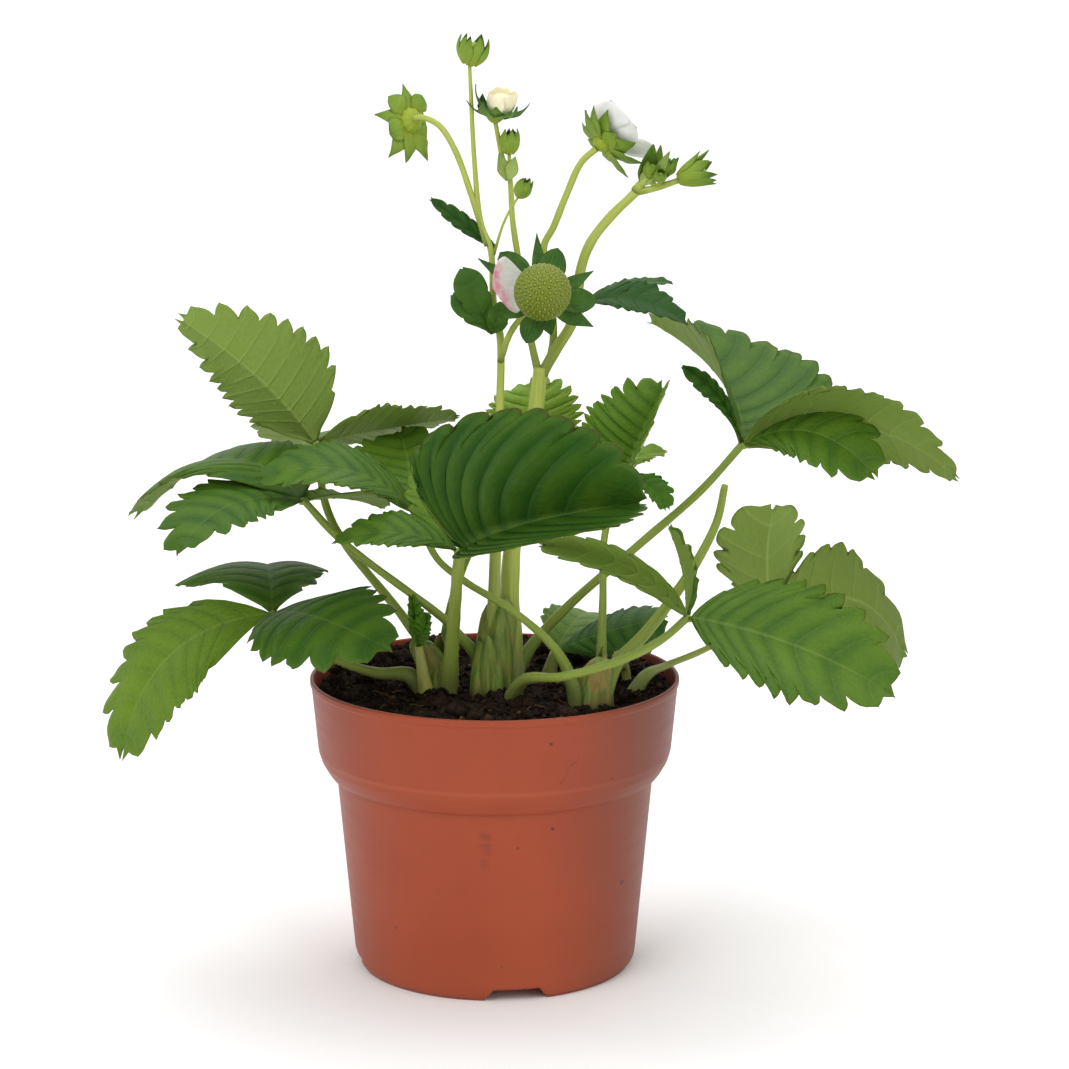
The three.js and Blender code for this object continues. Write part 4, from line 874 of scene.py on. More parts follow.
def sepalFinish(name, deep, fresh, under, edge):
    # yellow at the foot, dark at the tip and the edge, with fine lines along it; a shade above 0.5
    # makes it paler and one below 0.5 darker
    f = Finish(name, roughness=0.6, Specular_IOR_Level=0.25)
    side, across, vein, shade = [f.attribute(key) for key in ("side", "across", "vein", "shade")]
    edgeward = across.absolute()
    grain = f.noise(900, 3)
    foot = 1 - (vein / 3).between(0.0, 1.0)
    lines = 1 - ((across * 3 + 10).fraction() - 0.5).absolute().between(0.0, 0.16)
    tone = f.mix(grain.between(0.3, 0.7) * 0.4 + f.noise(120, 2).between(0.35, 0.65) * 0.45, deep, fresh)
    tone = f.mix((1 - side) * 0.7, tone, under)
    tone = f.mix(foot * 0.6, tone, paint(158, 170, 52))
    tone = f.mix((vein / 6).between(0.5, 1.0) * 0.5, tone, deep)
    tone = f.mix((shade * 2 - 1).between(0.0, 1.0), tone, paint(176, 196, 112))
    tone = f.mix((1 - shade * 2).between(0.0, 1.0), tone, deep)
    tone = f.mix(lines * 0.25, tone, under)
    tone = f.mix(edgeward.between(0.8, 1.0) * 0.5, tone, edge)
    tone = f.mix(f.attribute("hair").between(0.4, 0.6) * 0.8, tone, paint(206, 218, 170))
    f.colour(tone)
    f.relief(grain * 0.6 - lines, depth=0.00015, strength=0.7)
    return f.material


def cupForm(form, base, axis, radius, height):
    # a small ribbed bowl under the sepals: its radius follows a sine up the axis
    main, right, upward = around(axis)
    u = np.linspace(0, 1, 8)[:, None]
    turn = np.linspace(0, 2 * math.pi, 40, endpoint=False)[None, :]
    ribs = 1 + 0.06 * np.cos(10 * turn)
    reach = radius * np.sin(math.pi * np.clip(u * 0.93 + 0.07, 0, 1)) ** 0.6 * ribs
    points = (vec(*base) + main * (height * u)[..., None] + reach[..., None]
              * (np.cos(turn)[..., None] * right + np.sin(turn)[..., None] * upward))
    form.grid(points, ring=True, capped=True, side=0.0, across=0.0, shade=0.5)


# each sepal: turn round the flower in degrees, reach and width in mm, 1 where it is blunt, and its
# lean away from the axis where that differs from the spread
calyxes = {
    "nodding": dict(
        base=(-24.4, 6.3, 275.9), axis=(-0.66, 0.72, -0.2), cup=4.1, spread=84, arch=-1.2, tone="lime",
        sepals=[(62, 10, 6, 1), (102, 11.8, 3.2, 0), (140, 10.5, 6.4, 1), (178, 13, 3.6, 0),
                (212, 10.5, 7, 1), (241, 14.5, 4.8, 0), (268, 13.5, 4.4, 0), (301, 14, 4.8, 0),
                (328, 9, 4, 0), (20, 7, 5, 1)],
    ),
    "cream_bud": dict(
        base=(0.2, 5, 274.8), axis=(0.14, -0.2, 0.97), cup=2.6, spread=42, arch=-1.6, tone="green",
        sepals=[(180, 13, 4.6, 0, 30), (190, 11, 1.6, 0, 54), (228, 9, 5.4, 0), (270, 7.6, 6, 0, 38),
                (308, 9, 5.6, 0), (335, 9, 4.4, 0, 52), (2, 12, 3.6, 0, 60), (60, 8, 5, 0), (100, 8, 5, 0),
                (140, 9, 5, 0)],
    ),
    "open_flower": dict(
        base=(32.8, 7.7, 266.5), axis=(0.66, 0.45, 0.6), cup=3.0, spread=78, arch=-1.2, tone="lime",
        sepals=[(112, 15, 3.2, 0, 80), (125, 13.5, 2.8, 0, 82), (140, 12, 3.2, 0, 80),
                (172, 9.5, 3.4, 0, 82), (100, 13, 4.2, 0, 56), (20, 11.5, 6.4, 0, 58),
                (-15, 14.5, 5.2, 0, 70), (-33, 14, 3.4, 0, 86), (60, 8.5, 5.4, 0, 64), (230, 9, 4, 0),
                (300, 9, 4, 0)],
    ),
}
# a bud's sepals stand round it, swell outward and turn their tips out
buds = {
    "top_bud": dict(base=(-7.6, 4.0, 292.8), axis=(0.26, -0.1, 1), cup=4.1, height=9.4, width=5.6,
                    tips=2.2),
    "small_bud": dict(base=(7.9, -1.5, 251.8), axis=(0.45, -0.3, 0.84), cup=2.2, height=6.8, width=3.6,
                      tips=0.5),
    "second_bud": dict(base=(5.0, 3, 265.0), axis=(0.05, -0.2, 0.98), cup=2.7, height=8.0, width=4.3,
                       tips=0.7),
    "cluster_bud": dict(base=(49.3, 0, 257.8), axis=(0.2, -0.35, 0.92), cup=2.0, height=6.0, width=3.2,
                        tips=1.2),
    "right_bud": dict(base=(58.2, -0.75, 257.3), axis=(0.92, -0.16, 0.36), cup=3.2, height=11.8, width=6,
                      tips=4.6),
}
# small leaves beside the buds: foot, tip, the way the upper face looks, width, shade
bractlets = {
    "second_bud": [((4.3, 3.4, 256.6), (1.8, 1.5, 265.6), (0.3, -0.9, 0.2), 4.3, 0.78),
                   ((4.9, 3.0, 256.8), (6.9, 1.0, 264.4), (-0.2, -0.95, 0.2), 4.3, 0.85)],
    "cluster_bud": [((46.6, 1.4, 255.6), (50.6, -2.5, 268.5), (0.5, -0.8, 0.3), 6.4, 0.3),
                    ((46.4, 0.6, 255.2), (51.6, -3, 261.6), (0.3, -0.9, 0.4), 4.6, 0.8),
                    ((51.6, -0.6, 256.6), (58.5, -3.5, 264.5), (-0.2, -0.9, 0.4), 3.8, 0.6),
                    ((50.6, -1.4, 256.4), (55.5, -4.4, 266.5), (-0.2, -0.9, 0.4), 3.4, 0.75),
                    ((51, 0.4, 256.6), (53, 2.4, 268), (-0.2, -0.9, 0.4), 3.4, 0.5)],
}
# two closed buds on stalks of their own beside the cluster's: base, axis, cup and height
sideBuds = [((54.4, 0.4, 258.8), (0.4, -0.3, 0.86), 1.8, 5.6),
            ((52.4, -3.2, 256.8), (0.1, -0.6, 0.8), 1.5, 4.6)]
sideFork = (48.6, 0.6, 256.4)
sepalGauge = 0.34   # the thickness of every sepal and small leaf, in mm


def budForm(form, base, axis, cup, height, width, tips, seed):
    # a ball drawn out along the axis, with two rings of five sepals over it
    main, right, upward = around(axis)
    base = vec(*base)
    u = np.linspace(0.03, 0.97, 10)
    girth = cup * np.sin(math.pi * u ** 0.8) ** 0.6
    tube(form, base + main * (u * height * 0.82)[:, None], girth * 0.93, 14, side=0.0, across=0.0, vein=1.5,
         shade=0.5)
    for i in range(10):
        turn = math.pi * i / 5 + 0.12 * math.sin(5 * i + seed)
        out = math.cos(turn) * right + math.sin(turn) * upward
        reach = height * (1 - 0.08 * (i % 2) + 0.06 * math.sin(4 * i + seed))
        root = base + main * 0.3 + out * 0.55 * cup
        tip = base + main * reach + out * cup * (0.42 + 0.1 * (i % 2))
        leaflet(form, root, tip, -out + 0.1 * main, width * (1 - 0.25 * (i % 2)),
                bow=-0.62 * cup - 0.2 * (i % 2), droop=tips * (1 + 0.3 * math.sin(3 * i + seed)), curl=40,
                fold=8, teeth=0, peak=0.72, full=0.75, wide=0.5, seed=900 + 20 * seed + i, rows=5,
                thickness=sepalGauge)


def addBractlets(form, name, seed):
    for i, (foot, tip, up, width, shade) in enumerate(bractlets.get(name, [])):
        leaflet(form, foot, tip, up, width, bow=-0.8, fold=14, curl=20, teeth=0, peak=0.85, full=0.75,
                wide=0.6, seed=seed + i, rows=5, thickness=sepalGauge, rough=1.8, shade=shade)


def makeCalyxes():
    tones = {
        "green": sepalFinish("sepalGreen", paint(44, 84, 26), paint(80, 122, 40), paint(112, 148, 58),
                             paint(50, 66, 30)),
        "lime": sepalFinish("sepalLime", paint(74, 112, 28), paint(124, 152, 46), paint(134, 160, 56),
                            paint(56, 78, 30)),
    }
    for number, (name, c) in enumerate(calyxes.items()):
        form = Form()
        main, right, upward = around(c["axis"])
        base = vec(*c["base"])
        cupForm(form, base, c["axis"], c["cup"], 1.7 * c["cup"])
        for i, (turn, reach, width, blunt, *own) in enumerate(c["sepals"]):
            angle = math.radians(turn)
            out = math.cos(angle) * right + math.sin(angle) * upward
            lean = math.radians(own[0] if own else c["spread"] + 8 * math.sin(3 * i + 1))
            root = base + main * c["cup"] * 0.8 + out * c["cup"] * 0.7
            tip = root + (main * math.cos(lean) + out * math.sin(lean)) * (reach - 0.7 * c["cup"])
            up = main * math.sin(lean) - out * math.cos(lean)
            leaflet(form, root, tip, up, width * 1.1, bow=c["arch"], teeth=0, peak=1.3 if blunt else 0.72,
                    full=0.5 if blunt else 0.85, fold=8, wide=0.9, seed=700 + 20 * number + i, rows=5,
                    thickness=sepalGauge, droop=1.2 * math.sin(2 * i), rough=1.8)
        addBractlets(form, name, 760 + 10 * number)
        made = form.build("calyx_of_" + name, [tones[c["tone"]]])
        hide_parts("calyx_" + name)
    for number, (name, c) in enumerate(buds.items()):
        form = Form()
        budForm(form, seed=number, **c)
        addBractlets(form, name, 860 + 10 * number)
        if name == "cluster_bud":
            for i, (base, axis, cup, height) in enumerate(sideBuds):
                budForm(form, base, axis, cup, height, cup * 1.5, 0.5, 7 + i)
                stalkPath = route([sideFork, vec(*base) - vec(*axis) * 1.2, vec(*base) + vec(*axis)], 8)
                tube(form, stalkPath, np.full(8, 0.55), 8, across=0.0, vein=0.5, shade=0.6)
        made = form.build("calyx_of_" + name, [tones["lime"]])
        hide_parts("calyx_" + name)
    print("calyxes", len(calyxes) + len(buds))


def petalFinish(name, inner, outer, blush):
    # faint lines run along a petal, and its outer rim is blushed as far as its shade says
    f = Finish(name, roughness=0.55, Specular_IOR_Level=0.2)
    vein, shade = f.attribute("vein"), f.attribute("shade")
    lines = f.noise(1.0, 2, vector=f.vector(vein * 0.5, f.attribute("across") * 9, 0))
    tone = f.mix(lines.between(0.35, 0.7) * 0.5, inner, outer)
    rim = (vein / 6).between(0.5, 0.85) * shade
    tone = f.mix(rim * (0.25 + f.noise(260, 2).between(0.4, 0.6) * 0.65), tone, blush)
    f.colour(tone)
    f.relief(lines, depth=0.00015, strength=0.5)
    return f.material


petals = dict(
    openBase=(36.93, 9.5, 270.2), openAxis=(0.62, 0.55, 0.56), openSpread=62, openWidth=15.5,
    openTurn=60, openLength=(9, 11.5, 9, 16.5, 7),
    wraps=5, wrapBase=(1.9, 3.9, 277.2), wrapAxis=(0.14, -0.2, 0.97), wrapRadius=5.0, wrapHeight=7.9,
    wrapGauge=0.25,
    centre=(39.45, 10.6, 272.4), centreRadius=1.6,
    lastBase=(10.8, -12, 227), lastTip=(0.2, -15.3, 224.2), lastUp=(0.25, -0.95, 0.1), lastWidth=18.5,
)


def makePetals():
    white = petalFinish("petalWhite", paint(230, 230, 226), paint(210, 212, 206), paint(232, 128, 160))
    cream = petalFinish("petalCream", paint(244, 240, 206), paint(228, 226, 168), paint(236, 190, 190))

    # the open flower, seen from its side
    form = Form()
    main = around(petals["openAxis"])[0]
    foot = vec(*petals["openBase"])
    first = unit(vec(0, 1, 0) - main[1] * main)
    second = np.cross(main, first)
    for i, length in enumerate(petals["openLength"]):
        turn = 2 * math.pi * i / 5 + math.radians(petals["openTurn"])
        out = math.cos(turn) * first + math.sin(turn) * second
        lean = math.radians(petals["openSpread"] + 6 * math.sin(2 * i))
        root = foot + out * 0.9
        tip = root + (main * math.cos(lean) + out * math.sin(lean)) * length
        up = main * math.sin(lean) - out * math.cos(lean)
        leaflet(form, root, tip, up, petals["openWidth"], bow=-1.8, curl=38, teeth=0, full=0.42, peak=1.25,
                wide=0.6, seed=1200 + i, rows=9, thickness=0.28, shade=0, rough=1.0)
    cupForm(form, foot - main * 0.8, petals["openAxis"], 1.6, 1.8)
    made = form.build("openPetals", [white])
    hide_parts("petals_open_flower")

    # the cream bud: petals wrapped round each other, each a strip of a barrel with a wavy upper edge
    form = Form()
    main, right, upward = around(petals["wrapAxis"])
    base = vec(*petals["wrapBase"])
    wrapped = np.linspace(-0.85, 0.85, 15)[:, None]
    u = np.linspace(0, 1, 16)[None, :]
    for i in range(petals["wraps"]):
        turn = 2 * math.pi * i / 5 + 0.4
        radius = petals["wrapRadius"] * (1 - 0.07 * (i % 3)) * np.sin(math.pi * (0.14 + 0.47 * u)) ** 0.7
        edge = 0.94 + 0.05 * math.sin(2 * i) - 0.3 * wrapped ** 6 - 0.03 * np.cos(7 * wrapped + i)
        height = petals["wrapHeight"] * u * edge
        angle = turn + wrapped * (0.55 + 0.35 * np.sin(math.pi * np.clip(u * 0.7 + 0.1, 0, 1)))
        reach = radius * (1 + 0.05 * wrapped) + 0.35 * u ** 4
        heading = np.cos(angle)[..., None] * right + np.sin(angle)[..., None] * upward
        outer, inner = [base + main * height[..., None] + at[..., None] * heading
                        for at in (reach, reach - petals["wrapGauge"])]
        form.sheet(outer, inner, vein=u * 6, across=wrapped, shade=0.3)
    cupForm(form, base + main * 1.2, petals["wrapAxis"], 0.8 * petals["wrapRadius"], 6.0)
    made = form.build("wrappedPetals", [cream])
    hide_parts("petals_cream_bud")

    # the last petal that still hangs beside the fruit
    form = Form()
    leaflet(form, petals["lastBase"], petals["lastTip"], petals["lastUp"], petals["lastWidth"], bow=-1.2,
            curl=30, teeth=0, full=0.42, peak=1.2, wide=0.7, seed=1300, rows=8, thickness=0.3, shade=1.0,
            rough=1.8)
    made = form.build("lastPetal", [white])
    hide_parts("petal_fruit")
    print("petals", len(petals["openLength"]) + petals["wraps"] + 1)


def spots(count):
    # evenly spread directions on a ball, by the golden angle
    i = np.arange(count) + 0.5
    height = 1 - 2 * i / count
    turn = i * math.pi * (3 - math.sqrt(5))
    ring = np.sqrt(1 - height ** 2)
    return np.stack([ring * np.cos(turn), height, ring * np.sin(turn)], -1)


def ballPoints():
    # a ball of rings from pole to pole, the poles on the second axis
    turn = np.linspace(0, 2 * math.pi, 132, endpoint=False)[None, :]
    polar = np.linspace(0.02, math.pi - 0.02, 76)[:, None]
    return np.stack(np.broadcast_arrays(np.sin(polar) * np.cos(turn), np.cos(polar),
                                        np.sin(polar) * np.sin(turn)), -1)


def seeds(form, centres, outward, along, length, width, height, finish, shade=0.5):
    # each seed is a small egg on its seat: rings of points round its long axis, their radius a sine
    rings, sides = 6, 7
    u = np.linspace(0.02, 0.98, rings)[None, :, None]
    turn = np.linspace(0, 2 * math.pi, sides, endpoint=False)[None, None, :]
    aside = np.cross(along, outward)
    girth = np.sin(math.pi * u) ** 0.6 * (1.15 - 0.45 * u)
    points = (centres[:, None, None] + along[:, None, None] * ((u - 0.5) * length)[..., None]
              + aside[:, None, None] * (girth * width / 2 * np.cos(turn))[..., None]
              + outward[:, None, None] * (girth * height / 2 * np.sin(turn))[..., None])
    count = len(centres)
    start = form.addPoints(points, dict(shade=shade, side=1.0))
    index = start + np.arange(count * rings * sides).reshape(count, rings, sides)
    index = np.concatenate([index, index[:, :, :1]], 2)
    corners = np.stack([index[:, :-1, :-1], index[:, 1:, :-1], index[:, 1:, 1:], index[:, :-1, 1:]], -1)
    form.addFaces(corners.reshape(-1, 4), finish)
    form.addFaces(index[:, 0, :sides], finish)
    form.addFaces(index[:, -1, :sides][:, ::-1], finish)


fruit = dict(
    centre=(15.5, -18, 223.7), axis=(0.05, -0.93, 0.36), across=8.9, along=8.2, skin=0.985,
    seeds=250, pit=0.35, seedLength=1.2, seedWidth=0.86, seedHeight=0.85,
    cupBase=(15.05, -6.4, 219), cup=2.4, cupHeight=4.4,
)
fruitSepals = [
    dict(turn=131, reach=20, width=8.4, full=0.45),
    dict(turn=94, reach=21.5, width=3.6, full=0.9),
    dict(turn=73, reach=17.5, width=8, full=0.45),
    dict(turn=30, reach=19, width=4, full=0.9),
    dict(turn=-1, reach=17.5, width=7.4, full=0.45),
    dict(turn=-28, reach=18.5, width=5, full=0.8),
    dict(turn=-75, reach=12, width=5, full=0.7),
    dict(turn=-109, reach=15, width=6.6, full=0.55),
    dict(turn=-156, reach=15.5, width=4, full=0.9),
    dict(turn=147, reach=24, width=3.8, full=0.9),
]


def makeFruit():
    main, right, upward = around(fruit["axis"])
    centre = vec(*fruit["centre"])
    size = vec(fruit["across"], fruit["along"], fruit["across"])
    ball = ballPoints()
    seat = spots(fruit["seeds"])
    # each seed sits in a shallow pit; between the seeds the flesh swells
    near = np.arccos(np.clip(ball.reshape(-1, 3) @ seat.T, -1, 1)).min(1).reshape(ball.shape[:2])
    swell = 1 + (0.03 * np.clip(near / 0.12, 0, 1) ** 2
                 - fruit["pit"] / fruit["across"] * np.exp(-(near / 0.05) ** 2))
    local = ball * size * swell[..., None] * fruit["skin"]
    turned = np.stack([right, main, upward])
    form = Form()
    form.grid(centre + local @ turned, ring=True, capped=True, flip=True, vein=near, shade=0.5)
    spot = (seat * size * fruit["skin"]) @ turned
    outward = unit((seat / size) @ turned)
    toward = unit(-main - (outward @ -main)[:, None] * outward)
    seeds(form, centre + spot + outward * 0.05, outward, toward, fruit["seedLength"], fruit["seedWidth"],
          fruit["seedHeight"], 1)
    f = Finish("fruitFlesh", roughness=0.42, Specular_IOR_Level=0.4)
    # painted shade: the flesh is darker close to each seed, down in its pit
    gap = f.attribute("vein")
    tone = f.mix(gap.between(0.02, 0.1), paint(56, 70, 12), paint(110, 124, 24))
    tone = f.mix(f.noise(160, 2).between(0.35, 0.7) * 0.4, tone, paint(104, 124, 30))
    f.colour(tone)
    f.relief(f.noise(900, 2), depth=0.0002, strength=0.4)
    g = Finish("fruitSeed", roughness=0.4, Specular_IOR_Level=0.4)
    g.colour(g.mix(g.noise(700, 1), paint(124, 132, 34), paint(156, 162, 50)))
    made = form.build("greenFruit", [f.material, g.material])
    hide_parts("fruit")
    print("fruit", fruit["seeds"])


def makeFruitCalyx():
    green = bpy.data.materials["sepalGreen"]
    main, right, upward = around(fruit["axis"])
    form = Form()
    seatAt = vec(*fruit["cupBase"]) + main * fruit["cup"]
    cupForm(form, seatAt - main * fruit["cup"], fruit["axis"], fruit["cup"], fruit["cupHeight"])
    for i, s in enumerate(fruitSepals):
        angle = math.radians(s["turn"])
        out = math.cos(angle) * right + math.sin(angle) * upward
        tip = seatAt + out * s["reach"] + main * 1.5
        broad = s["full"] < 0.6
        leaflet(form, seatAt + out * 1.6, tip, main, s["width"] * 1.12, bow=-0.8, fold=6, teeth=0,
                peak=1.5 if broad else 0.95, full=0.55 if broad else 0.9, wide=0.6, seed=1400 + i, rows=5,
                thickness=sepalGauge, curl=12, rough=1.5)
    made = form.build("fruitCalyx", [green])
    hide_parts("calyx_fruit")
    print("fruit calyx", len(fruitSepals))


def makeFlowerMiddle():
    # the open flower's middle: a dome of pistils with stamens round it
    form = Form()
    main, right, upward = around(petals["openAxis"])
    middle = vec(*petals["centre"])
    dome = spots(60)
    dome = dome[dome[:, 1] > -0.25]
    turned = np.stack([right, main, upward])
    outward = dome @ turned
    radius = petals["centreRadius"]
    form.grid(middle + (ballPoints()[::4, ::6] * radius * 0.85) @ turned, ring=True, capped=True, flip=True,
              shade=0.2)
    side = unit(np.cross(outward, main + 0.01))
    seeds(form, middle + outward * radius * 0.9, side, outward, 0.9, 0.32, 0.32, 0, shade=0.2)
    angles = np.linspace(0, 2 * math.pi, 20, endpoint=False)
    ringOut = np.cos(angles)[:, None] * right + np.sin(angles)[:, None] * upward
    lean = unit(ringOut + main * 0.9)
    # a thread and an anther for each stamen
    for far, length, width, height, shade in ((1.7, 2.0, 0.18, 0.18, 0.1), (2.6, 0.9, 0.6, 0.5, 1.0)):
        seeds(form, middle - main * 0.4 + lean * far, unit(np.cross(lean, main)), lean, length, width,
              height, 0, shade=shade)
    f = Finish("flowerMiddle", roughness=0.6)
    f.colour(f.mix(f.attribute("shade"), paint(176, 186, 70), paint(214, 178, 52)))
    made = form.build("flowerMiddle", [f.material])
    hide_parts("flower_centre")
    print("flower middle", len(angles), "stamens")


# Pot, soil and crowns

# outlines run from the middle of the floor out, up the outside, over the lip and down the inside
pot = dict(
    height=96, columns=216,
    under=[(0.4, 0), (8, 0), (9, 3.6), (42.8, 3.6), (43.2, 0)],
    outer=[(44.6, 0), (46.1, 2.2), (46.5, 5.5), (51.8, 63.4), (53.6, 64.0), (54.9, 65.8), (56.7, 68.9),
           (57.7, 72.2), (59.7, 93.6), (60.15, 94.1), (60.15, 95.9), (59.2, 96.1)],
    inner=[(58.9, 95.4), (56.4, 71.6), (51.3, 65.0), (44.8, 4.9), (0.4, 4.8)],
    underBend=0.5, outerBend=0.6, innerBend=0.7, outOfRound=0.0016,
    notchTurn=9.3, notches=4, notchTop=15, notchBottom=21, notchHeight=4.0,
    ringInside=42, ringRadius=45.5, ringTop=4.2,
    # specks on the front: x, z and size in metres
    spots=[(0.0182, 0.0878, 0.0007), (0.0412, 0.0337, 0.0009), (0.0187, 0.0579, 0.0007)],
)


def rounded(corners, radius, steps=5):
    # each corner of an open outline becomes a short parabola that starts and ends a radius away from
    # it, or closer where its sides are short
    knots = np.array(corners, float)
    before, after = knots[:-2] - knots[1:-1], knots[2:] - knots[1:-1]
    shorter = np.minimum(np.linalg.norm(before, axis=1), np.linalg.norm(after, axis=1))
    cut = np.minimum(radius, 0.45 * shorter)
    first, last = knots[1:-1] + unit(before) * cut[:, None], knots[1:-1] + unit(after) * cut[:, None]
    t = np.linspace(0, 1, steps)[None, :, None]
    curve = first[:, None] * (1 - t) ** 2 + 2 * knots[1:-1][:, None] * t * (1 - t) + last[:, None] * t ** 2
    return np.vstack([knots[:1], curve.reshape(-1, 2), knots[-1:]])


def makePot():
    p = pot
    profile = np.vstack([rounded(p["under"] + p["outer"][:1], p["underBend"])[:-1],
                         rounded(p["outer"], p["outerBend"]), rounded(p["inner"], p["innerBend"])])
    # the columns lie closer at the sides of each notch
    centre = p["notchTurn"] - 90 + np.arange(p["notches"]) * 360 / p["notches"]
    half = np.degrees(np.array([-1, 1])[None, :] * p["notchBottom"] / 2 / p["ringRadius"])
    edges = np.radians(centre[:, None] + half)
    turn = np.concatenate([np.linspace(-math.pi, math.pi, p["columns"], endpoint=False),
                           (edges[..., None] + np.linspace(-0.08, 0.08, 9)).ravel()])
    turn = np.unique(np.round((turn + math.pi) % (2 * math.pi) - math.pi, 3))
    # a notch lifts the foot: its height is a trapezoid along the rim of the foot
    away = (turn[:, None] - np.radians(centre)[None, :] + math.pi) % (2 * math.pi) - math.pi
    away = np.abs(away).min(1) * p["ringRadius"]
    slope = (p["notchBottom"] - p["notchTop"]) / 2 / p["notchHeight"]
    lift = np.clip((p["notchBottom"] / 2 - away) / slope, 0, p["notchHeight"])
    radius, height = profile[:, 0][:, None], profile[:, 1][:, None]
    inRing = (radius > p["ringInside"]) & (height < p["ringTop"])
    lifted = np.maximum(height, lift[None, :] * np.where(radius < 44, 0.9, 1))
    height = np.where(inRing, lifted, height)
    squeeze = 1 + p["outOfRound"] * np.cos(2 * turn + 0.6) * np.clip(height / p["height"], 0, 1) ** 2
    radius = np.broadcast_to(radius, height.shape) * squeeze
    points = np.stack([radius * np.cos(turn), radius * np.sin(turn), height], -1)
    form = Form()
    form.grid(points, ring=True, capped=True, across=turn[None, :] / math.pi)
    made = form.build("nurseryPot", [potFinish()])
    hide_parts("pot")
    print("pot", len(turn))


def potFinish():
    f = Finish("terracottaPlastic", roughness=0.42, Specular_IOR_Level=0.35, Coat_Roughness=0.3)
    x, y, z = f.axes(f.place())
    cloud = f.noise(28, 3)
    drag = f.noise(1.0, 3, vector=f.vector(x * 60, y * 60, z * 420))
    grain = f.noise(1500, 2)
    tone = f.mix((cloud * 1.4 - 0.2).between(0, 1), paint(148, 60, 29), paint(160, 67, 34))
    # paler towards the foot, a painted highlight along the edge of the ledge, and painted shade towards both
    # sides, where the pot turns away from the lamps
    tone = f.mix((1 - z.between(0.0, 0.02)) * 0.22, tone, paint(174, 88, 56))
    # painted highlight: a pale line along the edge of the ledge
    tone = f.mix((1 - (z - 0.0715).absolute().between(0.0, 0.0012)) * 0.35, tone, paint(174, 86, 54))
    # painted shade: darker towards the right and the left side of the pot, where it turns from the light
    tone = f.mix(x.between(0.012, 0.056) * 0.75, tone, paint(104, 48, 29))
    tone = f.mix((x * -1).between(0.03, 0.06) * 0.5, tone, paint(118, 54, 34))
    # a soft dark stain, specks of soil and a thin curved scratch on the front
    front = (y * -1).between(0.0, 0.01)
    stain = 1 - (((x + 0.0026) / 0.0026) ** 2 + ((z - 0.0526) / 0.0085) ** 2).between(0.05, 1.2)
    tone = f.mix(stain * front * drag.between(0.35, 0.6) * 0.5, tone, paint(110, 46, 28))
    specks = f.cells(190, feature="F1")
    rare = f.noise(60, 1).between(0.6, 0.66)
    tone = f.mix((1 - specks.between(0.05, 0.14)) * rare * 0.7, tone, paint(70, 40, 30))
    for spotX, spotZ, size in pot["spots"]:
        away = ((x - spotX) ** 2 + (z - spotZ) ** 2) ** 0.5
        tone = f.mix((1 - away.between(size * 0.5, size)) * front * 0.8, tone, paint(64, 36, 26))
    bend = z - 0.0788 - (x - 0.0239) * 1.48 + (x * 1500).sine() * 0.0007
    scratch = 1 - bend.absolute().between(0.0001, 0.00045)
    scratch = scratch * x.between(0.0205, 0.021) * (1 - x.between(0.0266, 0.0272))
    tone = f.mix(scratch * front * 0.65, tone, paint(104, 44, 30))
    f.colour(tone)
    f.rough(0.36 + drag * 0.16 + grain * 0.06)
    f.relief(drag * 0.4 + grain * 0.25 + cloud * 0.6, depth=0.00025, strength=0.35)
    return f.material


soil = dict(
    top=93.6, lump=1.5, wall=55,        # the surface, how uneven it is, and its reach, in mm
    columns=128, rings=44,
    edge=[(56.5, 92.6), (57.4, 91.5), (57.2, 88.0)],
    side=[(56.0, 80.0), (55.3, 71.6), (50.6, 65.0), (44.2, 6.0), (43.6, 5.2), (0.4, 5.2)],
    crumbs=1500, clods=130, heaped=420, fibres=170,
    open=54, strewn=56, clodLimit=56.5, crumbLimit=57,  # how far out each may lie
    moreFeet=[(2, -23, 90), (-19, -19, 90), (31, -39, 90)],
)
lumpPoints = np.array([(1, 0, 0), (0.5, 0.87, 0), (-0.5, 0.87, 0), (-1, 0, 0), (-0.5, -0.87, 0),
                       (0.5, -0.87, 0), (0.3, 0.3, 0.8), (-0.4, 0.1, 0.7), (0.1, -0.4, 0.75), (0, 0, -0.7)])
lumpFaces = np.array([(0, 1, 6), (1, 2, 7), (1, 7, 6), (2, 3, 7), (3, 4, 7), (4, 8, 7), (4, 5, 8), (5, 0, 8),
                      (0, 6, 8), (6, 7, 8), (1, 0, 9), (2, 1, 9), (3, 2, 9), (4, 3, 9), (5, 4, 9), (0, 5, 9)])


def soilHeight(x, y):
    # broad and small waves crossed at odd angles, and a rise towards the back wall
    reach = np.hypot(x, y) / soil["wall"]
    waves = np.sin(0.31 * x + 1) * np.cos(0.27 * y) + 0.6 * np.sin(0.55 * y - 0.4 * x)
    small = 0.45 * np.sin(1.3 * x + 2.1 * y) * np.cos(1.7 * y - 0.6 * x)
    small = small + 0.3 * np.sin(2.9 * x - 1.1) * np.sin(2.6 * y)
    rise = np.maximum(0, y / soil["wall"])
    return soil["top"] + soil["lump"] * (waves * np.minimum(1, 2 * reach) * 0.75 + small * 0.4 + 0.5 * rise)


def soilFinish():
    # dark peat with brown and pale grains; a shade near 1 is a pale crumb or fibre
    f = Finish("peat", roughness=0.95, Specular_IOR_Level=0.15)
    coarse, fine = f.noise(220, 4, 0.7), f.noise(1400, 3, 0.7)
    tone = f.mix(coarse.between(0.35, 0.65), paint(15, 10, 7), paint(45, 31, 22))
    tone = f.mix(fine.between(0.55, 0.75) * 0.6, tone, paint(86, 62, 44))
    tone = f.mix(f.attribute("shade").between(0.75, 1.0) * 0.7, tone, paint(112, 84, 58))
    f.colour(tone)
    f.relief(coarse + fine * 0.5, depth=0.001, strength=1.0)
    return f.material


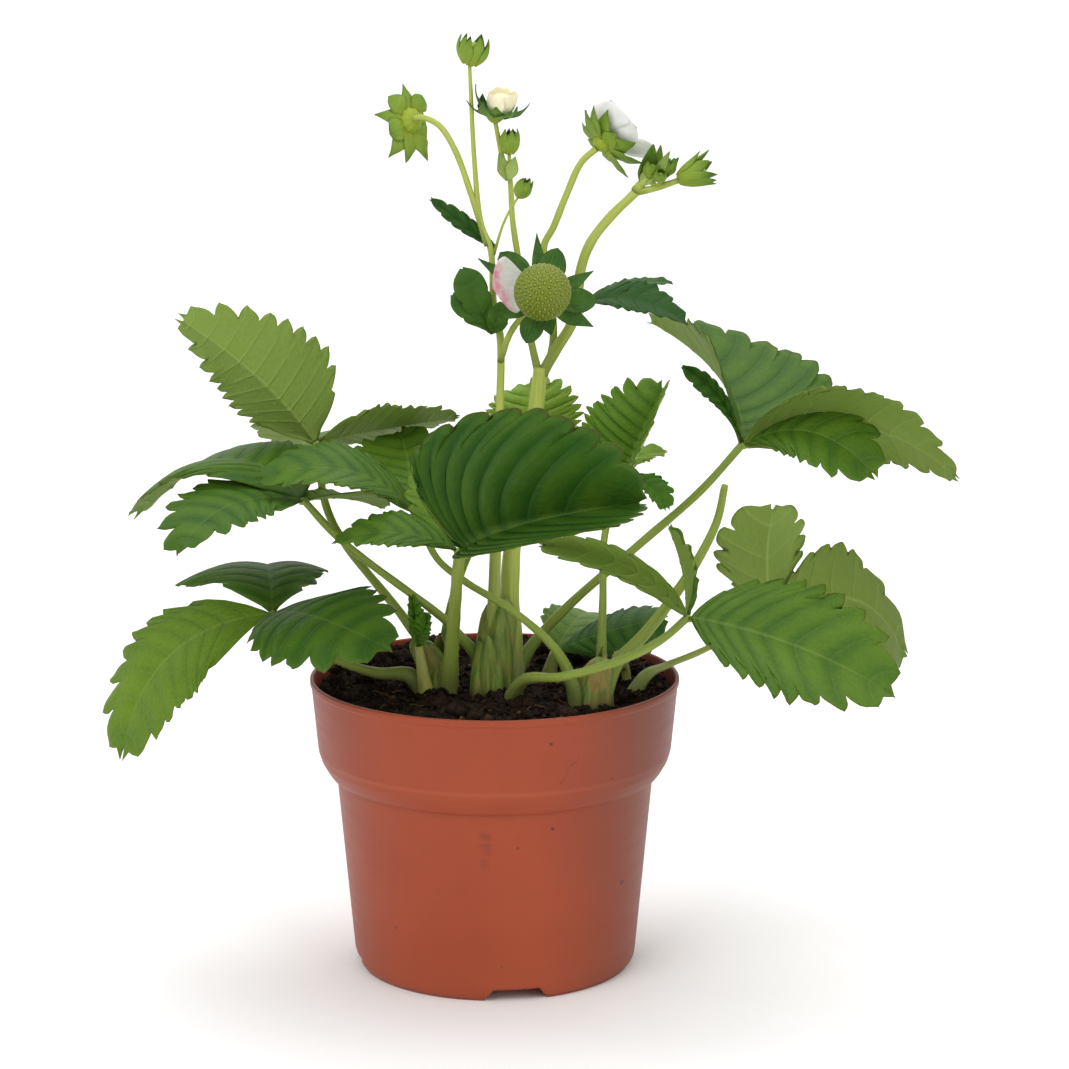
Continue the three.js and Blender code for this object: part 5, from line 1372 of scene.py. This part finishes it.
def lumps(form, at, size, palest, draw):
    # flattened eight-sided lumps, each with its corners moved in and out
    count, corners = len(at), len(lumpPoints)
    moved = lumpPoints[None] * size[:, None, None] * draw.uniform(0.65, 1.35, (count, corners, 3))
    tint = draw.uniform(0, palest, count)[:, None] ** 2
    start = form.addPoints(at[:, None] + moved, dict(shade=tint))
    first = start + corners * np.arange(count)[:, None, None]
    form.addFaces((first + lumpFaces[None]).reshape(-1, 3))


def makeSoil():
    form = Form()
    turn = np.linspace(0, 2 * math.pi, soil["columns"], endpoint=False)[None, :]
    edge, side = np.array(soil["edge"]), np.array(soil["side"])
    radius = np.concatenate([np.linspace(0.3, soil["open"], soil["rings"]), edge[:, 0]])[:, None]
    x, y = radius * np.cos(turn), radius * np.sin(turn)
    z = soilHeight(x, y)
    z[soil["rings"]:] = edge[:, 1:]
    top = np.stack([x, y, z], -1)
    lower = np.stack([side[:, :1] * np.cos(turn), side[:, :1] * np.sin(turn), side[:, 1:] + 0 * turn], -1)
    form.grid(np.concatenate([top, lower]), ring=True, capped=True, flip=True)
    draw = np.random.default_rng(5)
    # crumbs, closer together near the wall
    count = soil["crumbs"]
    reach = soil["strewn"] * np.sqrt(draw.uniform(0, 1, count)) ** 0.9
    angle = draw.uniform(0, 2 * math.pi, count)
    size = np.exp(draw.normal(-0.15, 0.45, count)) * 0.95
    x, y = reach * np.cos(angle), reach * np.sin(angle)
    inside = np.hypot(x, y) + size < soil["crumbLimit"]
    x, y, size = x[inside], y[inside], size[inside]
    lumps(form, np.stack([x, y, soilHeight(x, y) + size * 0.25], -1), size, 1, draw)
    # clods: larger broken lumps, heaped towards the back wall
    polar = np.linspace(0.15, math.pi - 0.15, 7)[:, None]
    spin = np.linspace(0, 2 * math.pi, 10, endpoint=False)[None, :]
    ball = np.stack(np.broadcast_arrays(np.sin(polar) * np.cos(spin), np.sin(polar) * np.sin(spin),
                                        0.7 * np.cos(polar)), -1)
    for i in range(soil["clods"]):
        a = math.radians(draw.uniform(20, 160) if i % 4 else draw.uniform(0, 360))
        r, wide = draw.uniform(34, 53), draw.uniform(1.6, 4.2)
        centre = vec(r * math.cos(a), r * math.sin(a), 0)
        if np.hypot(centre[0], centre[1]) + wide > soil["clodLimit"]:
            continue
        centre[2] = float(soilHeight(centre[0], centre[1])) + 0.15 * wide
        bumps = wide * (1 + 0.22 * draw.standard_normal((7, 10)))
        form.grid(centre + ball * bumps[..., None], ring=True, capped=True, flip=True,
                  shade=draw.uniform(0, 0.8))
    # crumbs heaped against the foot of each stalk, their height a bell curve of the distance
    count = soil["heaped"]
    feet = np.array([leaf["path"][0] for leaf in leaves.values()] + soil["moreFeet"])
    foot = feet[draw.integers(0, len(feet), count)]
    away, heading = draw.uniform(2.5, 8, count), draw.uniform(0, 2 * math.pi, count)
    x, y = foot[:, 0] + away * np.cos(heading), foot[:, 1] + away * np.sin(heading)
    heap = np.stack([x, y, soilHeight(x, y) + 1.6 * np.exp(-(away / 5) ** 2)], -1)
    heap = heap[np.hypot(x, y) < soil["open"]]
    lumps(form, heap, draw.uniform(0.5, 1.5, len(heap)), 0.9, draw)
    # fibres: thin bent threads of peat and root lying on the crumbs
    for i in range(soil["fibres"]):
        r, a = soil["open"] * math.sqrt(draw.uniform()), draw.uniform(0, 2 * math.pi)
        heading, long = draw.uniform(0, 2 * math.pi), draw.uniform(3, 9)
        t = np.linspace(-0.5, 0.5, 6)
        x = r * math.cos(a) + long * t * math.cos(heading) + draw.normal(0, 0.6) * t ** 2
        y = r * math.sin(a) + long * t * math.sin(heading) + draw.normal(0, 3) * t ** 2
        if np.hypot(x, y).max() > soil["strewn"]:
            continue
        z = soilHeight(x, y) + 0.5 + draw.uniform(0, 0.9) + draw.normal(0, 1.2) * t ** 2
        thread = np.full(6, draw.uniform(0.12, 0.32))
        tube(form, np.stack([x, y, z], -1), thread, 5, shade=draw.uniform(0.5, 1))
    made = form.build("peatSoil", [soilFinish()])
    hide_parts("soil")
    print("soil", len(size), "crumbs")


# the clump at the foot of the stalks, and the sheaths that clasp it: turn, foot, length and width in mm
crowns = {
    "left": dict(
        path=[(-17.6, -12, 88), (-18, -12, 97), (-21.2, -11.6, 105), (-24.4, -11, 111)], radius=(6.4, 4.2),
        blush=0.5,
        sheaths=[(200, 96, 15, 9), (262, 95, 11, 10), (80, 98, 16, 9)],
    ),
    "middle": dict(
        path=[(-1.2, -15, 88), (-1.0, -15, 98), (0, -13, 108), (1.6, -11, 118), (2.4, -10.2, 124)],
        radius=(6.7, 5.2), blush=0.2, sheaths=[(200, 96, 18, 9), (262, 94, 22, 9), (345, 98, 28, 8)],
    ),
    "right": dict(
        path=[(31, -31, 88), (31.5, -31, 96), (32.6, -30.5, 103), (34, -30, 109)], radius=(7.2, 4.0),
        blush=0.6,
        sheaths=[(190, 95, 11, 10), (250, 94, 11, 10), (320, 95, 15, 9.5), (40, 98, 16, 9)],
    ),
}


def crownFinish():
    # streaked greens, blotched with tan and brown as far as the shade says, and dark brown near the soil
    f = Finish("crownGreen", roughness=0.55, Specular_IOR_Level=0.3)
    x, y, z = f.axes(f.place())
    streak = f.noise(1.0, 3, vector=f.vector(x * 700, y * 700, z * 90))
    patch = f.noise(150, 3)
    blush = f.attribute("shade")
    tone = f.mix(streak.between(0.35, 0.65) * 0.8, paint(84, 108, 40), paint(126, 144, 62))
    tone = f.mix(patch.between(0.42, 0.6) * blush, tone, paint(150, 122, 66))
    spotted = patch.between(0.55, 0.7) * blush * streak.between(0.4, 0.6)
    tone = f.mix(spotted, tone, paint(126, 74, 40))
    tone = f.mix(1 - z.between(0.0925, 0.098), tone, paint(74, 56, 36))
    tone = f.mix(f.attribute("across").absolute().between(0.8, 1.0) * f.attribute("side") * 0.7, tone,
                 paint(160, 124, 84))
    # the middle clump is browned on its right
    tone = f.mix(x.between(0.006, 0.009) * (1 - x.between(0.013, 0.015)) * 0.8, tone, paint(104, 76, 44))
    f.colour(tone)
    f.relief(streak, depth=0.0002, strength=0.6)
    return f.material


def makeCrowns():
    finish = crownFinish()
    along = np.linspace(0, 1, 16)
    turn = np.linspace(0, 2 * math.pi, 48, endpoint=False)[None, :]
    for number, (name, c) in enumerate(crowns.items()):
        # a clump: a tube with lengthwise folds whose top is rounded off as a quarter ellipse
        form = Form()
        centre = route(c["path"], len(along))
        radius = c["radius"][0] + (c["radius"][1] - c["radius"][0]) * along
        top = np.sqrt(np.clip(1 - ((along - 0.8) / 0.22) ** 2, 0.05, 1))
        radius = radius * np.where(along > 0.8, top, 1)
        folds = 1 + 0.1 * np.sin(5 * turn + 3 * along[:, None] + number)
        folds = folds + 0.05 * np.sin(9 * turn - 2 * number)
        points = (centre[:, None] + (radius[:, None] * folds)[..., None]
                  * np.stack([np.cos(turn) + 0 * folds, np.sin(turn) + 0 * folds, 0 * folds], -1))
        form.grid(points, ring=True, capped=True, shade=c["blush"])
        axis = vec(*c["path"][1]) * (1, 1, 0)
        for i, (heading, low, length, width) in enumerate(c["sheaths"]):
            angle = math.radians(heading)
            out = vec(math.cos(angle), math.sin(angle), 0)
            root = axis + out * c["radius"][0] * 0.93 + vec(0, 0, low - 4)
            tip = axis + out * c["radius"][1] * (0.72 + 0.3 * (i % 2)) + vec(0, 0, low + length - 2)
            leaflet(form, root, tip, -out, width, bow=-0.9, curl=56, fold=24, teeth=0, peak=0.9, full=0.6,
                    wide=3.4, seed=1500 + 10 * number + i, rows=6, thickness=0.6,
                    shade=c["blush"] * (0.4 + 0.3 * (i % 3)), rough=1.2)
        made = form.build("crown_of_" + name, [finish])
        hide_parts("crown_" + name)
    print("crowns", len(crowns))


# a leaf that is still unfolding beside the left crown, and a shoot still rolled up beside the right one
shoots = dict(
    stem=[(-21, -18, 90), (-22.6, -19, 100), (-24, -19, 110)], stemRadius=(1.9, 1.0), stemFlare=1.2,
    leaflets=[
        dict(tip=(-26.6, -18, 127), up=(0.3, -1, 0.2), width=8.5, fold=50),
        dict(tip=(-20.5, -20, 121), up=(-0.5, -1, 0.2), width=9.5, fold=36),
    ],
    curled=[(42, -4, 88), (43, -3, 96), (42, -4, 101)], curledRadius=(1.8, 1.4),
    knob=[(42, -4, 99), (41, -5.2, 101.5), (40.2, -5.8, 103.6), (41.4, -5.4, 104.6)], knobRadius=2.55,
    knobRings=16, knobHairs=150, knobHairLength=1.3,
)


def makeShoots():
    green = bpy.data.materials["leafYoung"]
    soft = stalkFinish("shoot", paint(150, 152, 74), paint(176, 176, 98), 0)
    form = Form()
    stem(form, shoots["stem"], shoots["stemRadius"], 91, flare=shoots["stemFlare"])
    for i, spec in enumerate(shoots["leaflets"]):
        leaflet(form, shoots["stem"][-1], teeth=6, toothDepth=0.1, wide=0.5, rows=7, seed=1600 + i,
                finish=1, shade=0.1, quilt=1.1, **spec)
    made = form.build("unfoldingLeaf", [soft, green])
    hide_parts("young_leaf")

    # the knob is a leaf bud still rolled up: a ball drawn out to a hooked point
    form = Form()
    stem(form, shoots["curled"], shoots["curledRadius"], 92)
    curl = route(shoots["knob"], shoots["knobRings"])
    girth = shoots["knobRadius"] * np.sin(math.pi * np.linspace(0.1, 0.96, shoots["knobRings"])) ** 0.7
    tube(form, curl, girth, 16)
    hairs(form, curl, girth, shoots["knobHairs"], shoots["knobHairLength"], 93)
    made = form.build("rolledShoot", [soft])
    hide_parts("curled_shoot")
    print("shoots", 2)


setUpStudio()
makeFloor()
makePot()
makeSoil()
makeLeaves()
makeStalks()
makeFlowerStems()
makeCalyxes()
makePetals()
makeFruit()
makeFruitCalyx()
makeFlowerMiddle()
makeCrowns()
makeShoots()
